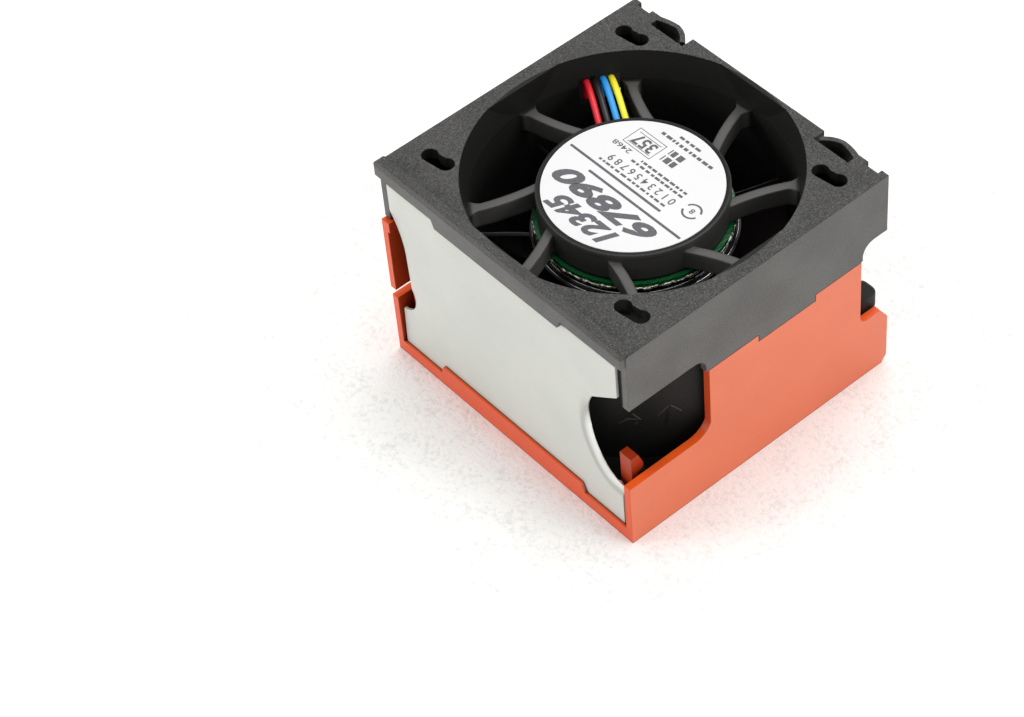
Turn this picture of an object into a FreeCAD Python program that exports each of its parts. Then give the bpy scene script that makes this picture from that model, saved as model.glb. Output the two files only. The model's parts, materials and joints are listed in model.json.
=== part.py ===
import FreeCAD
import Part
import Sketcher

import math
import os

# Hot-swap server fan module: a black fan housing with its motor, held in an orange carrier.
# Frame: millimetres, +Z up along the fan axis towards the exhaust, origin at the middle of the base.
# +X is the side with the stepped skirt, -Y the side with the grey cover plate, +Y the plug side.

doc = FreeCAD.newDocument("server_fan_module")
sheet = doc.addObject("Spreadsheet::Sheet", "sizes")

SIZES = [
    # casing
    ("case_half_width", 33.6, "fan axis to the outer face of either side wall"),
    ("case_front", 33.0, "fan axis to the front face of the rim"),
    ("case_rear", 32.0, "fan axis to the outer face of the rear wall"),
    ("housing_top", 49.4, "floor to the exhaust face"),
    ("side_wall", 1.6, "side walls and skirts"),
    ("part_gap", 0.15, "clearance between the two plastic mouldings"),
    # exhaust plate of the fan housing
    ("plate_thick", 2.4, "exhaust plate"),
    ("plate_front", 31.0, "fan axis to the back of the front rim"),
    ("plate_rear", 31.1, "fan axis to the rear edge between the hooks"),
    ("corner_rear", 30.2, "fan axis to the rear edge at the corners"),
    ("edge_step", 0.3, "exhaust plate inside the skirts' outer faces"),
    ("rim_rise", 1.6, "front rim above the exhaust face"),
    ("rim_drop", 2.4, "front rim below the exhaust face, at the ends"),
    ("rim_tab_drop", 4.5, "front rim below the exhaust face, in the middle"),
    ("rim_tab_half", 17.6, "half length of the rim's deeper middle"),
    ("rim_corner", 1.4, "rounding of the rim's ends"),
    # duct
    ("duct_bore", 60.2, "bore of the duct"),
    ("duct_mouth", 62.6, "flared exhaust mouth, cut flat at the four sides"),
    ("flare_depth", 6.0, "depth of the exhaust flare"),
    ("duct_wall", 2.9, "duct wall at the corners"),
    ("duct_flat_front", 30.9, "fan axis to the duct's flat at the front"),
    ("barrel_margin", 20.0, "what the barrel's rounding cut clears past the duct wall"),
    ("flange_thick", 2.6, "foot flange of the fan housing"),
    ("flange_half", 31.4, "half width of the foot flange"),
    ("mount_pitch", 50.0, "pitch of the fan's four corner holes"),
    ("mount_hole", 4.3, "corner hole"),
    # dog-bone slots
    ("slot_reach_x", 26.25, "fan axis to the middle of a slot, across"),
    ("slot_reach_y", 23.7, "fan axis to the middle of a slot, fore and aft"),
    ("slot_pitch", 4.0, "between the two lobes of a slot"),
    ("slot_lobe", 3.3, "lobe of a slot"),
    ("slot_step", 0.45, "how far the straight part of a slot stays inside its lobes at the rear"),
    ("slot_turn", 7.5, "turn of a slot about the fan axis direction, degrees"),
    # snap hooks
    ("hook_root", 26.2, "fan axis to the end of a hook slot"),
    ("hook_tip", 17.9, "fan axis to the free end of a hook"),
    ("hook_leaf", 0.9, "leaf of a hook"),
    ("hook_step", 2.4, "end of a hook slot to the step at the corner"),
    ("hook_clear", 0.5, "gap past the free end of a hook"),
    ("hook_curl", 1.7, "how far a hook's free end curls back"),
    ("hook_height", 4.3, "height of a hook's leaf"),
    ("rib_low", 38.0, "floor to the lower edge of the rib behind the hooks"),
    ("hook_slot_y", 28.3, "fan axis to the inner edge of a hook slot"),
    ("hook_bulge", 31.9, "fan axis to the crown of a hook"),
    # skirts
    ("skirt_front", 31.8, "fan axis to a skirt's front end"),
    ("skirt_rear", 31.2, "fan axis to a skirt's rear end"),
    ("skirt_end_drop", 13.8, "exhaust face to a skirt's lower edge at its ends"),
    ("skirt_drop", 17.6, "exhaust face to a skirt's lower edge above the side tab"),
    ("skirt_tongue_drop", 19.2, "exhaust face to the lower edge of a skirt's tongue"),
    ("tongue_front", 0.8, "front end of the tongue, ahead of the fan axis"),
    ("tongue_rear", 13.1, "rear end of the tongue"),
    ("tab_front", 12.9, "fan axis to the side tab's front edge"),
    ("tab_rear", 24.8, "fan axis to the side tab's rear edge"),
    ("opening_round", 2.8, "rounding of the side openings"),
    ("opening_side", 0.7, "side tab's front edge to the opening ahead of it"),
    # motor base and struts
    ("hub_radius", 17.8, "motor base"),
    ("hub_recess", 4.6, "exhaust face to the motor base"),
    ("hub_wall", 1.4, "wall of the motor base"),
    ("hub_depth", 6.4, "depth of the motor base"),
    ("hub_edge", 0.4, "bevel of the motor base's edge"),
    ("strut_drop", 6.3, "exhaust face to the top of the struts"),
    ("strut_height", 4.0, "height of a strut"),
    ("strut_width", 1.8, "width of a strut"),
    ("strut_flare", 2.4, "radius of a strut's flare at the duct wall"),
    ("strut_bend", 45.0, "radius of a strut's curve"),
    ("strut_sweep", 15.5, "turn of a strut between motor base and duct, degrees"),
    ("strut_lead", 31.0, "lean of a strut at the motor base, degrees"),
    ("strut_end_lead", 27.0, "lean of a strut before the duct, degrees"),
    ("label_radius", 16.85, "label disc"),
    ("label_thick", 0.15, "label disc"),
    ("wire_angle", 150.3, "direction of the wire channel, degrees"),
    ("wire_exit_half", 12.0, "half width of the wires' exit from the motor base, degrees"),
    ("wire_slot_half", 7.6, "half width of the wire channel at the duct, degrees"),
    # carrier
    ("base_thick", 5.0, "intake base of the carrier, which the fan housing stands on"),
    ("front_face", 32.7, "fan axis to the carrier's front face"),
    ("low_wall", 15.0, "height of the carrier's low walls"),
    ("lip_end", 2.9, "height of the front lip at its ends"),
    ("lip_middle", 5.1, "height of the front lip in its middle"),
    ("lip_half", 20.6, "half length of the lip's higher middle"),
    ("intake_mouth", 61.4, "intake opening of the carrier"),
    ("rear_wall", 0.7, "rear wall of the carrier"),
    ("corner_cut", 2.0, "bevel of the carrier's rear corners"),
    ("tab_foot_rise", 2.7, "rise of the curved foot of the side tab"),
    ("tab_foot_run", 4.2, "run of the curved foot of the side tab"),
    ("tab_rear_round", 2.0, "rounding at the rear foot of the side tab"),
    ("frame_edge", 1.3, "rear wall round the plug's window"),
    ("clip_height", 18.6, "floor to the top of a clip"),
    ("clip_thick", 1.5, "clip, in the direction that it bends"),
    ("clip_width", 3.0, "clip"),
    ("clip_barb", 1.3, "reach of a clip's barb"),
    ("clip_seat", 14.0, "floor to the lugs that the clips hold"),
    ("clip_reach", 29.4, "fan axis to the middle of a clip, across"),
    ("lug_face", 28.15, "fan axis to the outer face of a lug"),
    ("lug_thick", 1.6, "lug of the fan housing that a clip holds"),
    # release arm
    ("arm_low", 17.2, "floor to the release arm's lower edge"),
    ("arm_top", 35.3, "floor to the release arm's upper edge"),
    ("arm_front", 32.8, "fan axis to the release arm's free end"),
    ("arm_thick", 1.5, "release arm"),
    ("arm_gap", 0.3, "gap at the arm's root"),
    ("arm_clear", 0.5, "gap between the arm and the skirt above it"),
    ("grip_length", 3.4, "rolled grip at the arm's free end"),
    ("grip_height", 2.4, "height of the rolled grip"),
    ("grip_reach", 0.6, "how far the grip stands inwards from the arm"),
    # cover plate
    ("cover_face", 32.1, "fan axis to the cover plate's outer face"),
    ("cover_thick", 0.6, "cover plate sheet"),
    ("cover_half", 31.6, "half width of the cover plate"),
    ("cover_low", 2.3, "floor to the cover plate's lower edge"),
    ("cover_top", 45.4, "floor to the cover plate's upper edge"),
    ("cover_tongue", 16.6, "half width of the step under the rim's deeper middle"),
    ("notch_low", 14.6, "floor to the lower end of the finger notch"),
    ("notch_sill", 17.0, "floor to the notch's sill"),
    ("notch_lip", 2.6, "plate's side to the end of the notch's sill"),
    ("notch_depth", 8.3, "plate's side to the notch's deepest point"),
    ("notch_deepest", 28.2, "floor to the notch's deepest point"),
    ("notch_bend", 7.4, "plate's side to the start of the notch's slanting edge"),
    ("notch_bend_level", 32.2, "floor to the start of the notch's slanting edge"),
    ("notch_high", 37.2, "floor to the upper end of the finger notch"),
    ("thumb_low", 12.5, "floor to the lower end of the thumb cut-out"),
    ("thumb_depth", 3.8, "plate's other side to the thumb cut-out's deepest point"),
    ("thumb_foot", 20.1, "floor to the thumb cut-out's lower corner"),
    ("thumb_head", 28.2, "floor to the thumb cut-out's upper corner"),
    ("thumb_high", 38.4, "floor to the upper end of the thumb cut-out"),
    # motor
    ("sleeve_bore", 8.02, "bearing sleeve, bore"),
    ("sleeve_outer", 9.4, "bearing sleeve, outside"),
    ("boss_outer", 12.0, "motor base's boss round the sleeve"),
    ("bearing_od", 8.0, "ball bearing, outside"),
    ("bearing_bore", 3.0, "ball bearing, bore"),
    ("bearing_width", 4.0, "ball bearing"),
    ("ring_wall", 0.6, "wall of a bearing ring"),
    ("shield_thick", 0.2, "shield of a bearing"),
    ("shield_gap", 0.1, "gap between a shield and the inner ring"),
    ("clip_ring", 0.4, "thickness of the shaft clip"),
    ("spring_height", 0.9, "height of the preload spring washer"),
    ("spring_sheet", 0.25, "sheet of the preload spring washer"),
    ("spring_rim", 2.9, "rim of the preload spring washer"),
    ("shaft_size", 3.0, "shaft"),
    ("shaft_clear", 0.02, "radial clearance of the shaft in the inner rings"),
    ("upper_bearing", 37.2, "floor to the upper bearing"),
    ("lower_bearing", 16.4, "floor to the lower bearing"),
    ("core_low", 20.0, "floor to the stator core"),
    ("core_high", 31.0, "floor to the top of the stator core"),
    ("core_radius", 14.6, "stator core"),
    ("core_poles", 6.0, "poles of the stator core"),
    ("core_ring", 2.0, "hoop of the core, which carries the poles"),
    ("pole_stem", 2.2, "stem of a pole"),
    ("pole_tip", 1.2, "tip of a pole, measured along its stem"),
    ("coil_swell", 1.7, "winding above and below the core"),
    ("board_radius", 18.6, "circuit board"),
    ("board_thick", 1.1, "circuit board"),
    ("yoke_radius", 18.3, "steel rotor cup, outside"),
    ("yoke_wall", 1.0, "steel rotor cup"),
    ("yoke_low", 11.2, "floor to the closed end of the rotor cup"),
    ("yoke_high", 35.5, "floor to the open end of the rotor cup"),
    ("magnet_thick", 1.9, "magnet ring"),
    ("magnet_low", 17.5, "floor to the magnet ring"),
    ("magnet_high", 33.5, "floor to the top of the magnet ring"),
    ("rotor_radius", 19.4, "impeller hub, outside"),
    ("rotor_bevel", 1.2, "bevel of the impeller hub's nose"),
    ("rotor_low", 9.0, "floor to the impeller hub's nose"),
    ("rotor_high", 35.0, "floor to the top of the impeller hub"),
    ("tip_gap", 0.55, "gap between blade tip and duct"),
    ("blades", 7.0, "blades"),
    ("blade_low", 10.2, "floor to a blade's intake edge"),
    ("blade_high", 33.5, "floor to a blade's exhaust edge"),
    ("blade_thick", 1.1, "blade at its root"),
    # wires and plug
    ("wire_size", 1.25, "wire over its insulation"),
    ("wire_groove", 0.9, "duct wall left behind the wires' drop"),
    ("wire_start", 12.0, "fan axis to the wires' joints on the board"),
    ("wire_level", 42.6, "floor to the wires inside the motor base"),
    ("wire_crest", 44.5, "floor to the wires where they cross the duct"),
    ("plug_front", 27.6, "fan axis to the plug's inner face"),
    ("plug_rear", 33.0, "fan axis to the plug's outer face"),
    ("plug_low", 19.0, "floor to the plug"),
    ("plug_high", 27.4, "floor to the top of the plug"),
    ("plug_inner_x", 21.0, "fan axis to the plug's side near the middle"),
    ("plug_outer_x", 31.0, "fan axis to the plug's side near the corner"),
    ("plug_wall", 1.0, "wall of the plug round its pins"),
    ("pin_size", 0.64, "side of a plug pin"),
    ("pin_pitch", 2.0, "pitch of the plug pins"),
]


class Size:
    """A length or an angle: its value now, and the text that binds it to the sheet."""

    def __init__(self, value, text):
        self.value = float(value)
        self.text = text

    def __add__(self, other):
        other = as_size(other)
        return Size(self.value + other.value, "(%s + %s)" % (self.text, other.text))

    def __sub__(self, other):
        other = as_size(other)
        return Size(self.value - other.value, "(%s - %s)" % (self.text, other.text))

    def __mul__(self, other):
        other = as_size(other)
        return Size(self.value * other.value, "(%s * %s)" % (self.text, other.text))

    def __truediv__(self, other):
        other = as_size(other)
        return Size(self.value / other.value, "(%s / %s)" % (self.text, other.text))

    def __neg__(self):
        return Size(-self.value, "(0 - %s)" % self.text)

    __radd__ = __add__
    __rmul__ = __mul__

    def __rsub__(self, other):
        return as_size(other) - self


def as_size(value):
    """Return value as a Size; a plain number stands for itself."""
    if isinstance(value, Size):
        return value
    return Size(value, "%.6g" % value)


def cos(angle):
    angle = as_size(angle)
    return Size(math.cos(math.radians(angle.value)), "cos(%s)" % angle.text)


def sin(angle):
    angle = as_size(angle)
    return Size(math.sin(math.radians(angle.value)), "sin(%s)" % angle.text)


class Named:
    """The sheet's sizes by name."""


S = Named()
for row, (alias, value, meaning) in enumerate(SIZES, start=1):
    sheet.set("A%d" % row, alias)
    sheet.set("B%d" % row, str(value))
    sheet.set("C%d" % row, meaning)
    sheet.setAlias("B%d" % row, alias)
    setattr(S, alias, Size(value, "sizes." + alias))
doc.recompute()

ZERO = as_size(0)
NODES = []


def new_body(label):
    """Start a sub-part as a PartDesign body."""
    body = doc.addObject("PartDesign::Body", label + "_body")
    body.Label = label
    NODES.append(body)
    return body


def origin_feature(body, role):
    return [item for item in body.Origin.OriginFeatures if item.Role == role][0]


def new_sketch(body, plane, offset=ZERO):
    """A sketch on one of the body's own origin planes, moved along the plane's normal."""
    sketch = body.newObject("Sketcher::SketchObject", "sketch")
    sketch.AttachmentSupport = [(origin_feature(body, plane + "_Plane"), "")]
    sketch.MapMode = "FlatFace"
    sketch.setExpression("AttachmentOffset.Base.z", offset.text)
    return sketch


def bind(sketch, kind, *place, size):
    """Add a dimension to the sketch and bind it to the sheet."""
    index = sketch.addConstraint(Sketcher.Constraint(kind, *place, size.value))
    sketch.setExpression("Constraints[%d]" % index, size.text)


def arc_between(start, end, radius, turn):
    """The minor arc from start to end; turn is +1 for anticlockwise, -1 for clockwise."""
    chord = end - start
    half = chord.Length / 2
    rise = math.sqrt(max(radius * radius - half * half, 0.0))
    side = FreeCAD.Vector(-chord.y, chord.x, 0).normalize() * (rise * turn)
    centre = (start + end) * 0.5 + side
    first, last = (start, end) if turn > 0 else (end, start)
    angle_0 = math.atan2(first.y - centre.y, first.x - centre.x)
    angle_1 = math.atan2(last.y - centre.y, last.x - centre.x)
    circle = Part.Circle(centre, FreeCAD.Vector(0, 0, 1), radius)
    return Part.ArcOfCircle(circle, angle_0, angle_1)


def outline(sketch, corners):
    """A closed outline; a corner (x, y) starts a line, (x, y, radius, turn) starts an arc."""
    corners = [tuple(as_size(item) for item in corner[:2]) + tuple(corner[2:]) for corner in corners]
    edges = []
    for index, corner in enumerate(corners):
        following = corners[(index + 1) % len(corners)]
        start = FreeCAD.Vector(corner[0].value, corner[1].value, 0)
        end = FreeCAD.Vector(following[0].value, following[1].value, 0)
        if len(corner) == 2:
            edge = sketch.addGeometry(Part.LineSegment(start, end), False)
            edges.append((edge, 1, 2))
            continue
        radius, turn = as_size(corner[2]), corner[3]
        edge = sketch.addGeometry(arc_between(start, end, radius.value, turn), False)
        bind(sketch, "Radius", edge, size=radius)
        edges.append((edge, 1, 2) if turn > 0 else (edge, 2, 1))
    for index, (edge, first, last) in enumerate(edges):
        previous, _, previous_last = edges[index - 1]
        sketch.addConstraint(Sketcher.Constraint("Coincident", previous, previous_last, edge, first))
        bind(sketch, "DistanceX", -1, 1, edge, first, size=corners[index][0])
        bind(sketch, "DistanceY", -1, 1, edge, first, size=corners[index][1])


def ring(sketch, radius, x=ZERO, y=ZERO):
    """A circle with its centre at x, y."""
    centre = FreeCAD.Vector(as_size(x).value, as_size(y).value, 0)
    edge = sketch.addGeometry(Part.Circle(centre, FreeCAD.Vector(0, 0, 1), radius.value), False)
    bind(sketch, "Radius", edge, size=radius)
    bind(sketch, "DistanceX", -1, 1, edge, 3, size=as_size(x))
    bind(sketch, "DistanceY", -1, 1, edge, 3, size=as_size(y))


def rectangle(x_low, x_high, y_low, y_high):
    return [(x_low, y_low), (x_high, y_low), (x_high, y_high), (x_low, y_high)]


def prism(body, plane, low, high, loops=(), rings=(), cut=False):
    """Pad, or cut, the outlines from low to high along X, Y or Z, whichever the plane faces."""
    low, high = as_size(low), as_size(high)
    offset = -high if plane == "XZ" else low
    sketch = new_sketch(body, plane, offset)
    for loop in loops:
        outline(sketch, loop)
    for item in rings:
        ring(sketch, *item)
    feature = body.newObject("PartDesign::Pocket" if cut else "PartDesign::Pad", "prism")
    feature.Profile = sketch
    feature.setExpression("Length", (high - low).text)
    feature.Reversed = cut
    return feature


def turned(body, corners, cut=False):
    """Turn an outline of (radius, height) corners about the fan axis."""
    sketch = new_sketch(body, "XZ")
    outline(sketch, corners)
    feature = body.newObject("PartDesign::Groove" if cut else "PartDesign::Revolution", "turned")
    feature.Profile = sketch
    feature.ReferenceAxis = (origin_feature(body, "Z_Axis"), [""])
    feature.Angle = 360
    return feature


def polar(body, features, count):
    """Repeat features about the fan axis and make the pattern the body's tip."""
    pattern = body.newObject("PartDesign::PolarPattern", "polar")
    pattern.Originals = features
    pattern.Axis = (origin_feature(body, "Z_Axis"), [""])
    pattern.Angle = 360
    pattern.setExpression("Occurrences", count.text)
    body.Tip = pattern
    return pattern


def made_part(label, shape):
    """A sub-part whose shape has no sketch or primitive that fits it."""
    feature = doc.addObject("Part::Feature", label + "_shape")
    feature.Label = label
    feature.Shape = shape
    NODES.append(feature)
    return feature


# Levels and radii that several pieces share.
rim_top = S.housing_top + S.rim_rise
plate_low = S.housing_top - S.plate_thick
hub_top = S.housing_top - S.hub_recess
hub_low = hub_top - S.hub_depth
strut_top = S.housing_top - S.strut_drop
strut_low = strut_top - S.strut_height
duct_foot = S.base_thick
duct_radius = S.duct_bore / 2
duct_outer = duct_radius + S.duct_wall
skirt_inner = S.case_half_width - S.side_wall
barrel_flat = skirt_inner - S.part_gap
skirt_low = S.housing_top - S.skirt_drop
tongue_low = S.housing_top - S.skirt_tongue_drop
skirt_end_low = S.housing_top - S.skirt_end_drop
board_high = hub_low
opening_front = S.tab_front + S.opening_side
rim_low = S.housing_top - S.rim_drop
hub_ceiling = hub_top - S.hub_wall
drop_floor = duct_radius + S.wire_groove
cover_back = S.cover_face - S.cover_thick
board_low = hub_low - S.board_thick


# Angles at which the struts leave the motor base; the wires pass between the fourth and fifth.
STRUT_ANGLES = (-10, 35, 80, 124, 164.5, 219, 258, 305)


def fan_housing():
    """Black moulding: exhaust plate, rim, skirts, hooks, duct, struts and motor base."""
    body = new_body("fan_housing")
    width = S.case_half_width - S.edge_step
    corner_x = S.hook_root + S.hook_step
    tip_x = S.hook_tip - S.hook_clear
    prism(body, "XY", plate_low, S.housing_top, [[
        (-width, -S.plate_front), (width, -S.plate_front),
        (width, S.corner_rear), (corner_x, S.corner_rear),
        (corner_x, S.plate_rear), (S.hook_root, S.plate_rear),
        (S.hook_root, S.hook_slot_y), (tip_x, S.hook_slot_y),
        (tip_x, S.plate_rear), (-tip_x, S.plate_rear),
        (-tip_x, S.hook_slot_y), (-S.hook_root, S.hook_slot_y),
        (-S.hook_root, S.plate_rear), (-corner_x, S.plate_rear),
        (-corner_x, S.corner_rear), (-width, S.corner_rear)]])
    # duct barrel: round at the corners, flat at the four sides
    flange_top = duct_foot + S.flange_thick
    prism(body, "XY", duct_foot, plate_low,
          [rectangle(-barrel_flat, barrel_flat, -S.duct_flat_front, S.plate_rear)])
    past_corners = duct_outer + S.barrel_margin
    turned(body, [(duct_outer, duct_foot - 1), (past_corners, duct_foot - 1),
                  (past_corners, plate_low), (duct_outer, plate_low)], cut=True)
    # foot flange, cut out for the carrier's clips, with the lugs that they hold
    prism(body, "XY", duct_foot, flange_top,
          [rectangle(-S.flange_half, S.flange_half, -S.duct_flat_front, S.plate_rear)])
    notch = S.clip_width / 2 + 0.3
    lug_back = S.lug_face - S.lug_thick
    for low, high in ((lug_back, S.lug_face), (-S.lug_face, -lug_back)):
        prism(body, "XY", duct_foot, S.clip_seat,
              [rectangle(x - S.clip_width / 2, x + S.clip_width / 2, low, high)
               for x in (S.clip_reach, -S.clip_reach)])
    prism(body, "XY", duct_foot - 1, S.clip_seat + 1,
          [rectangle(x - notch, x + notch, *reach) for x in (S.clip_reach, -S.clip_reach)
           for reach in ((S.lug_face, S.plate_rear + 1), (-S.duct_flat_front - 1, -S.lug_face))], cut=True)
    # rib behind the hooks
    prism(body, "XY", S.rib_low, plate_low, [
        rectangle(low, high, S.hook_slot_y - 1, S.hook_slot_y)
        for low, high in ((tip_x, barrel_flat + 0.1), (-barrel_flat - 0.1, -tip_x))])
    # front rim with rounded ends, and its deeper middle that laps the cover plate
    end = S.case_half_width - 0.2
    bend = S.rim_corner
    tab_low = S.housing_top - S.rim_tab_drop
    prism(body, "XZ", -S.case_front, -S.plate_front, [[
        (-end, rim_low), (end, rim_low), (end, rim_top - bend, bend, 1),
        (end - bend, rim_top), (bend - end, rim_top, bend, 1), (-end, rim_top - bend)]])
    prism(body, "XZ", -S.case_front, -S.cover_face - S.part_gap, [[
        (-S.rim_tab_half, rim_low + 0.1), (0.8 - S.rim_tab_half, tab_low),
        (S.rim_tab_half - 0.8, tab_low), (S.rim_tab_half, rim_low + 0.1)]])
    # skirts with the stepped lower edge
    turn = S.opening_round
    inner = opening_front
    outer = S.tab_rear + 0.3
    skirt_outline = [
        (-S.skirt_front, S.housing_top), (-S.skirt_front, skirt_end_low),
        (-inner - turn, skirt_end_low, turn, -1), (-inner, skirt_end_low - turn),
        (-inner, skirt_low), (-S.tongue_front, skirt_low), (-S.tongue_front, tongue_low),
        (S.tongue_rear, tongue_low), (S.tongue_rear, skirt_low),
        (outer, skirt_low), (outer, skirt_end_low - turn, turn, -1),
        (outer + turn, skirt_end_low), (S.skirt_rear, skirt_end_low), (S.skirt_rear, S.housing_top)]
    for low, high in ((barrel_flat, S.case_half_width), (-S.case_half_width, -barrel_flat)):
        prism(body, "YZ", low, high, [skirt_outline])
    # snap hooks: curved leaves that spring outward from the corners
    crown = (S.hook_root + S.hook_tip) / 2
    for hand in (1, -1):
        prism(body, "XY", S.housing_top - S.hook_height, S.housing_top, [[
            (S.hook_root * hand, S.plate_rear, 14, hand), (crown * hand, S.hook_bulge, 6, hand),
            (S.hook_tip * hand, S.plate_rear - S.hook_curl),
            ((S.hook_tip + 0.7) * hand, S.plate_rear - S.hook_curl - 0.6, 6, -hand),
            (crown * hand, S.hook_bulge - S.hook_leaf, 14, -hand),
            (S.hook_root * hand, S.plate_rear - S.hook_leaf - 0.3)]])
    # bore with the flared mouth; the four flats are put back afterwards
    mouth = S.duct_mouth / 2
    flare_low = S.housing_top - S.flare_depth
    prism(body, "XY", duct_foot - 1, rim_top, rings=[(duct_radius,)], cut=True)
    turned(body, [(0, flare_low), (duct_radius, flare_low), (mouth, S.housing_top),
                  (mouth, rim_top), (0, rim_top)], cut=True)
    flat_half = duct_radius * 0.3
    for low, high in ((duct_radius, barrel_flat), (-barrel_flat, -duct_radius)):
        prism(body, "YZ", low, high, [rectangle(-flat_half, flat_half, flare_low, S.housing_top)])
    for low, high in ((duct_radius, S.plate_rear), (-S.duct_flat_front, -duct_radius)):
        prism(body, "XZ", low, high, [rectangle(-flat_half, flat_half, flare_low, S.housing_top)])
    # motor base: a shallow cup, open downwards, with the boss for the bearing sleeve
    turned(body, [
        (S.sleeve_outer / 2, S.lower_bearing - 1), (S.boss_outer / 2, S.lower_bearing - 1),
        (S.boss_outer / 2, hub_ceiling), (S.hub_radius - S.hub_wall, hub_ceiling),
        (S.hub_radius - S.hub_wall, hub_low), (S.hub_radius, hub_low),
        (S.hub_radius, hub_top - S.hub_edge), (S.hub_radius - S.hub_edge, hub_top),
        (0, hub_top), (0, hub_ceiling), (S.sleeve_outer / 2, hub_ceiling)])
    # struts: gently curved, and flared where they meet the duct
    half = S.strut_width / 2
    flare = S.strut_flare
    near = S.hub_radius - 0.7
    wall = duct_radius + 0.4
    before = wall - flare - 0.4
    for first in STRUT_ANGLES:
        last = first + S.strut_sweep
        bend = last - 1.4
        lead = first + S.strut_lead
        end_lead = first + S.strut_end_lead
        side_x, side_y = -half * sin(lead), half * cos(lead)
        end_x, end_y = -half * sin(end_lead), half * cos(end_lead)
        wide_x, wide_y = -(half + flare) * sin(last), (half + flare) * cos(last)
        prism(body, "XY", strut_low, strut_top, [[
            (near * cos(first) - side_x, near * sin(first) - side_y, S.strut_bend, -1),
            (before * cos(bend) - end_x, before * sin(bend) - end_y, flare + 0.6, -1),
            (wall * cos(last) - wide_x, wall * sin(last) - wide_y),
            (wall * cos(last) + wide_x, wall * sin(last) + wide_y, flare + 0.6, -1),
            (before * cos(bend) + end_x, before * sin(bend) + end_y, S.strut_bend, 1),
            (near * cos(first) + side_x, near * sin(first) + side_y)]])
    # way of the wires: out of the motor base, through a window in the duct, down a groove outside it
    exit_half, slot_half = S.wire_exit_half, S.wire_slot_half
    for near, far, before, after, low, high in (
            (S.hub_radius - S.hub_wall - 2, S.hub_radius + 1, exit_half + 0.6, exit_half,
             hub_low - 1, hub_ceiling),
            (duct_radius - 1, duct_outer + 1, slot_half, slot_half, strut_low, S.wire_crest + 0.3),
            (drop_floor, duct_outer + 1, slot_half * 1.6, slot_half, S.clip_seat + 1, S.wire_crest + 0.3)):
        start = S.wire_angle - before
        end = S.wire_angle + after
        prism(body, "XY", low, high, [[
            (near * cos(start), near * sin(start)), (far * cos(start), far * sin(start)),
            (far * cos(end), far * sin(end)), (near * cos(end), near * sin(end))]], cut=True)
    # corner holes of the foot flange, and the slots in the exhaust plate above them
    post = S.mount_pitch / 2
    prism(body, "XY", duct_foot - 1, flange_top + 1,
          rings=[(S.mount_hole / 2, x, y) for x in (post, -post) for y in (post, -post)], cut=True)
    step_x = S.slot_pitch / 2 * cos(S.slot_turn)
    step_y = S.slot_pitch / 2 * sin(S.slot_turn)
    side_x, side_y = -sin(S.slot_turn), cos(S.slot_turn)
    front = -S.slot_lobe / 2
    rear = S.slot_lobe / 2 - S.slot_step
    centres = [(S.slot_reach_x * i, S.slot_reach_y * k) for i in (1, -1) for k in (1, -1)]
    prism(body, "XY", plate_low - 1, S.housing_top + 1,
          rings=[(S.slot_lobe / 2, x + step_x * k, y + step_y * k) for x, y in centres for k in (1, -1)],
          cut=True)
    prism(body, "XY", plate_low - 1, S.housing_top + 1, [[
        (x - step_x + side_x * front, y - step_y + side_y * front),
        (x + step_x + side_x * front, y + step_y + side_y * front),
        (x + step_x + side_x * rear, y + step_y + side_y * rear),
        (x - step_x + side_x * rear, y - step_y + side_y * rear)] for x, y in centres], cut=True)


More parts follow.
